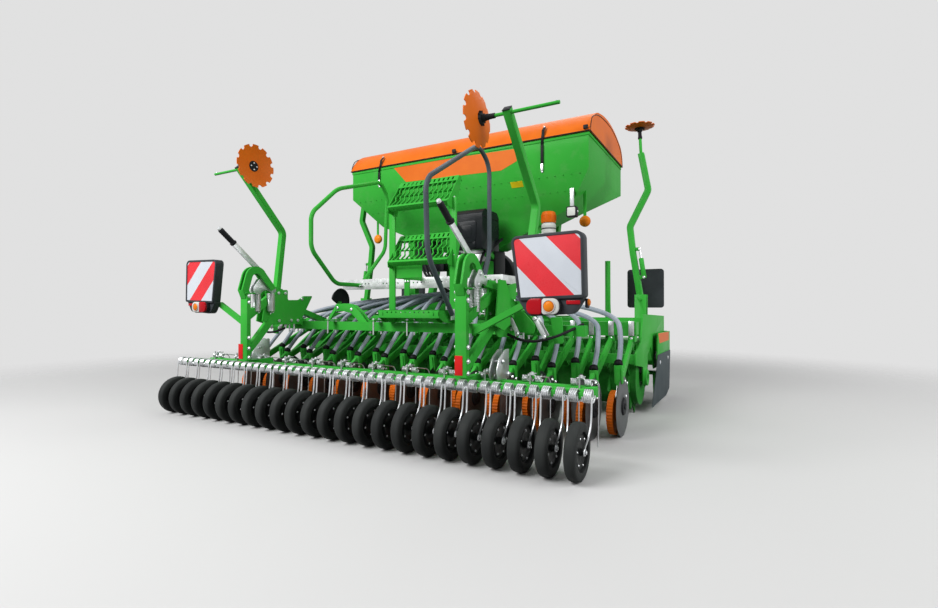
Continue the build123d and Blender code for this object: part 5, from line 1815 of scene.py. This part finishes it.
def makeStudio(settings):
    world = bpy.data.worlds.new("world")
    bpy.context.scene.world = world
    world.use_nodes = True
    tree = world.node_tree
    seen = tree.nodes.new("ShaderNodeLightPath")
    shown = seen.outputs["Is Camera Ray"]
    for kind in ("Is Glossy Ray", "Is Transmission Ray"):
        either = tree.nodes.new("ShaderNodeMath")
        either.operation = "MAXIMUM"
        tree.links.new(shown, either.inputs[0])
        tree.links.new(seen.outputs[kind], either.inputs[1])
        shown = either.outputs[0]
    ambient = tree.nodes["Background"]
    ambient.inputs["Color"].default_value = (1.0, 1.0, 1.0, 1.0)
    ambient.inputs["Strength"].default_value = settings["ambient"]
    backdrop = tree.nodes.new("ShaderNodeBackground")
    backdrop.inputs["Color"].default_value = (*settings["backdrop"], 1.0)
    surface = tree.nodes.new("ShaderNodeMixShader")
    for socket, source in zip(surface.inputs, (shown, ambient.outputs[0], backdrop.outputs[0])):
        tree.links.new(source, socket)
    tree.links.new(surface.outputs[0], tree.nodes["World Output"].inputs["Surface"])

    floorFinish = Finish("floor")
    distance = floorFinish.make("VectorMath", {"operation": "LENGTH"}, {0: floorFinish.where()}, 1)
    clear = floorFinish.make("BsdfTransparent")
    rays = [Value(floorFinish, floorFinish.make("LightPath").socket.node.outputs[kind])
            for kind in ("Is Camera Ray", "Is Glossy Ray", "Is Transmission Ray")]
    seen = (rays[0] + rays[1] + rays[2]) > 0.5
    colour = floorFinish.blend(seen, settings["floorBounce"], settings["floorColour"])
    floorFinish.coat(Base_Color=colour, Roughness=settings["floorRoughness"])
    solid = Value(floorFinish, floorFinish.shader.outputs[0])
    share = distance.fade(settings["fadeStart"], settings["fadeEnd"])
    both = floorFinish.make("MixShader", None, {0: share, 1: solid, 2: clear})
    floorFinish.tree.links.new(both.socket, floorFinish.tree.nodes["Material Output"].inputs["Surface"])
    mesh = bmesh.new()
    bmesh.ops.create_circle(mesh, cap_ends=True, segments=64, radius=settings["floorRadius"])
    data = bpy.data.meshes.new("floor")
    mesh.to_mesh(data)
    mesh.free()
    floor = bpy.data.objects.new("floor", data)
    data.materials.append(floorFinish.material)
    bpy.context.scene.collection.objects.link(floor)

    for number, lamp in enumerate(settings["lamps"]):
        light = bpy.data.lights.new(f"lamp{number}", "AREA")
        light.size = lamp["size"]
        light.energy = lamp["power"]
        holder = bpy.data.objects.new(f"lamp{number}", light)
        bpy.context.scene.collection.objects.link(holder)
        holder.location = lamp["from"]
        holder.rotation_euler = (-Vector(lamp["from"])).to_track_quat("-Z", "Y").to_euler()


makeStudio(studioSettings)
bpy.context.scene.view_settings.view_transform = "Standard"
print("camera and studio made")
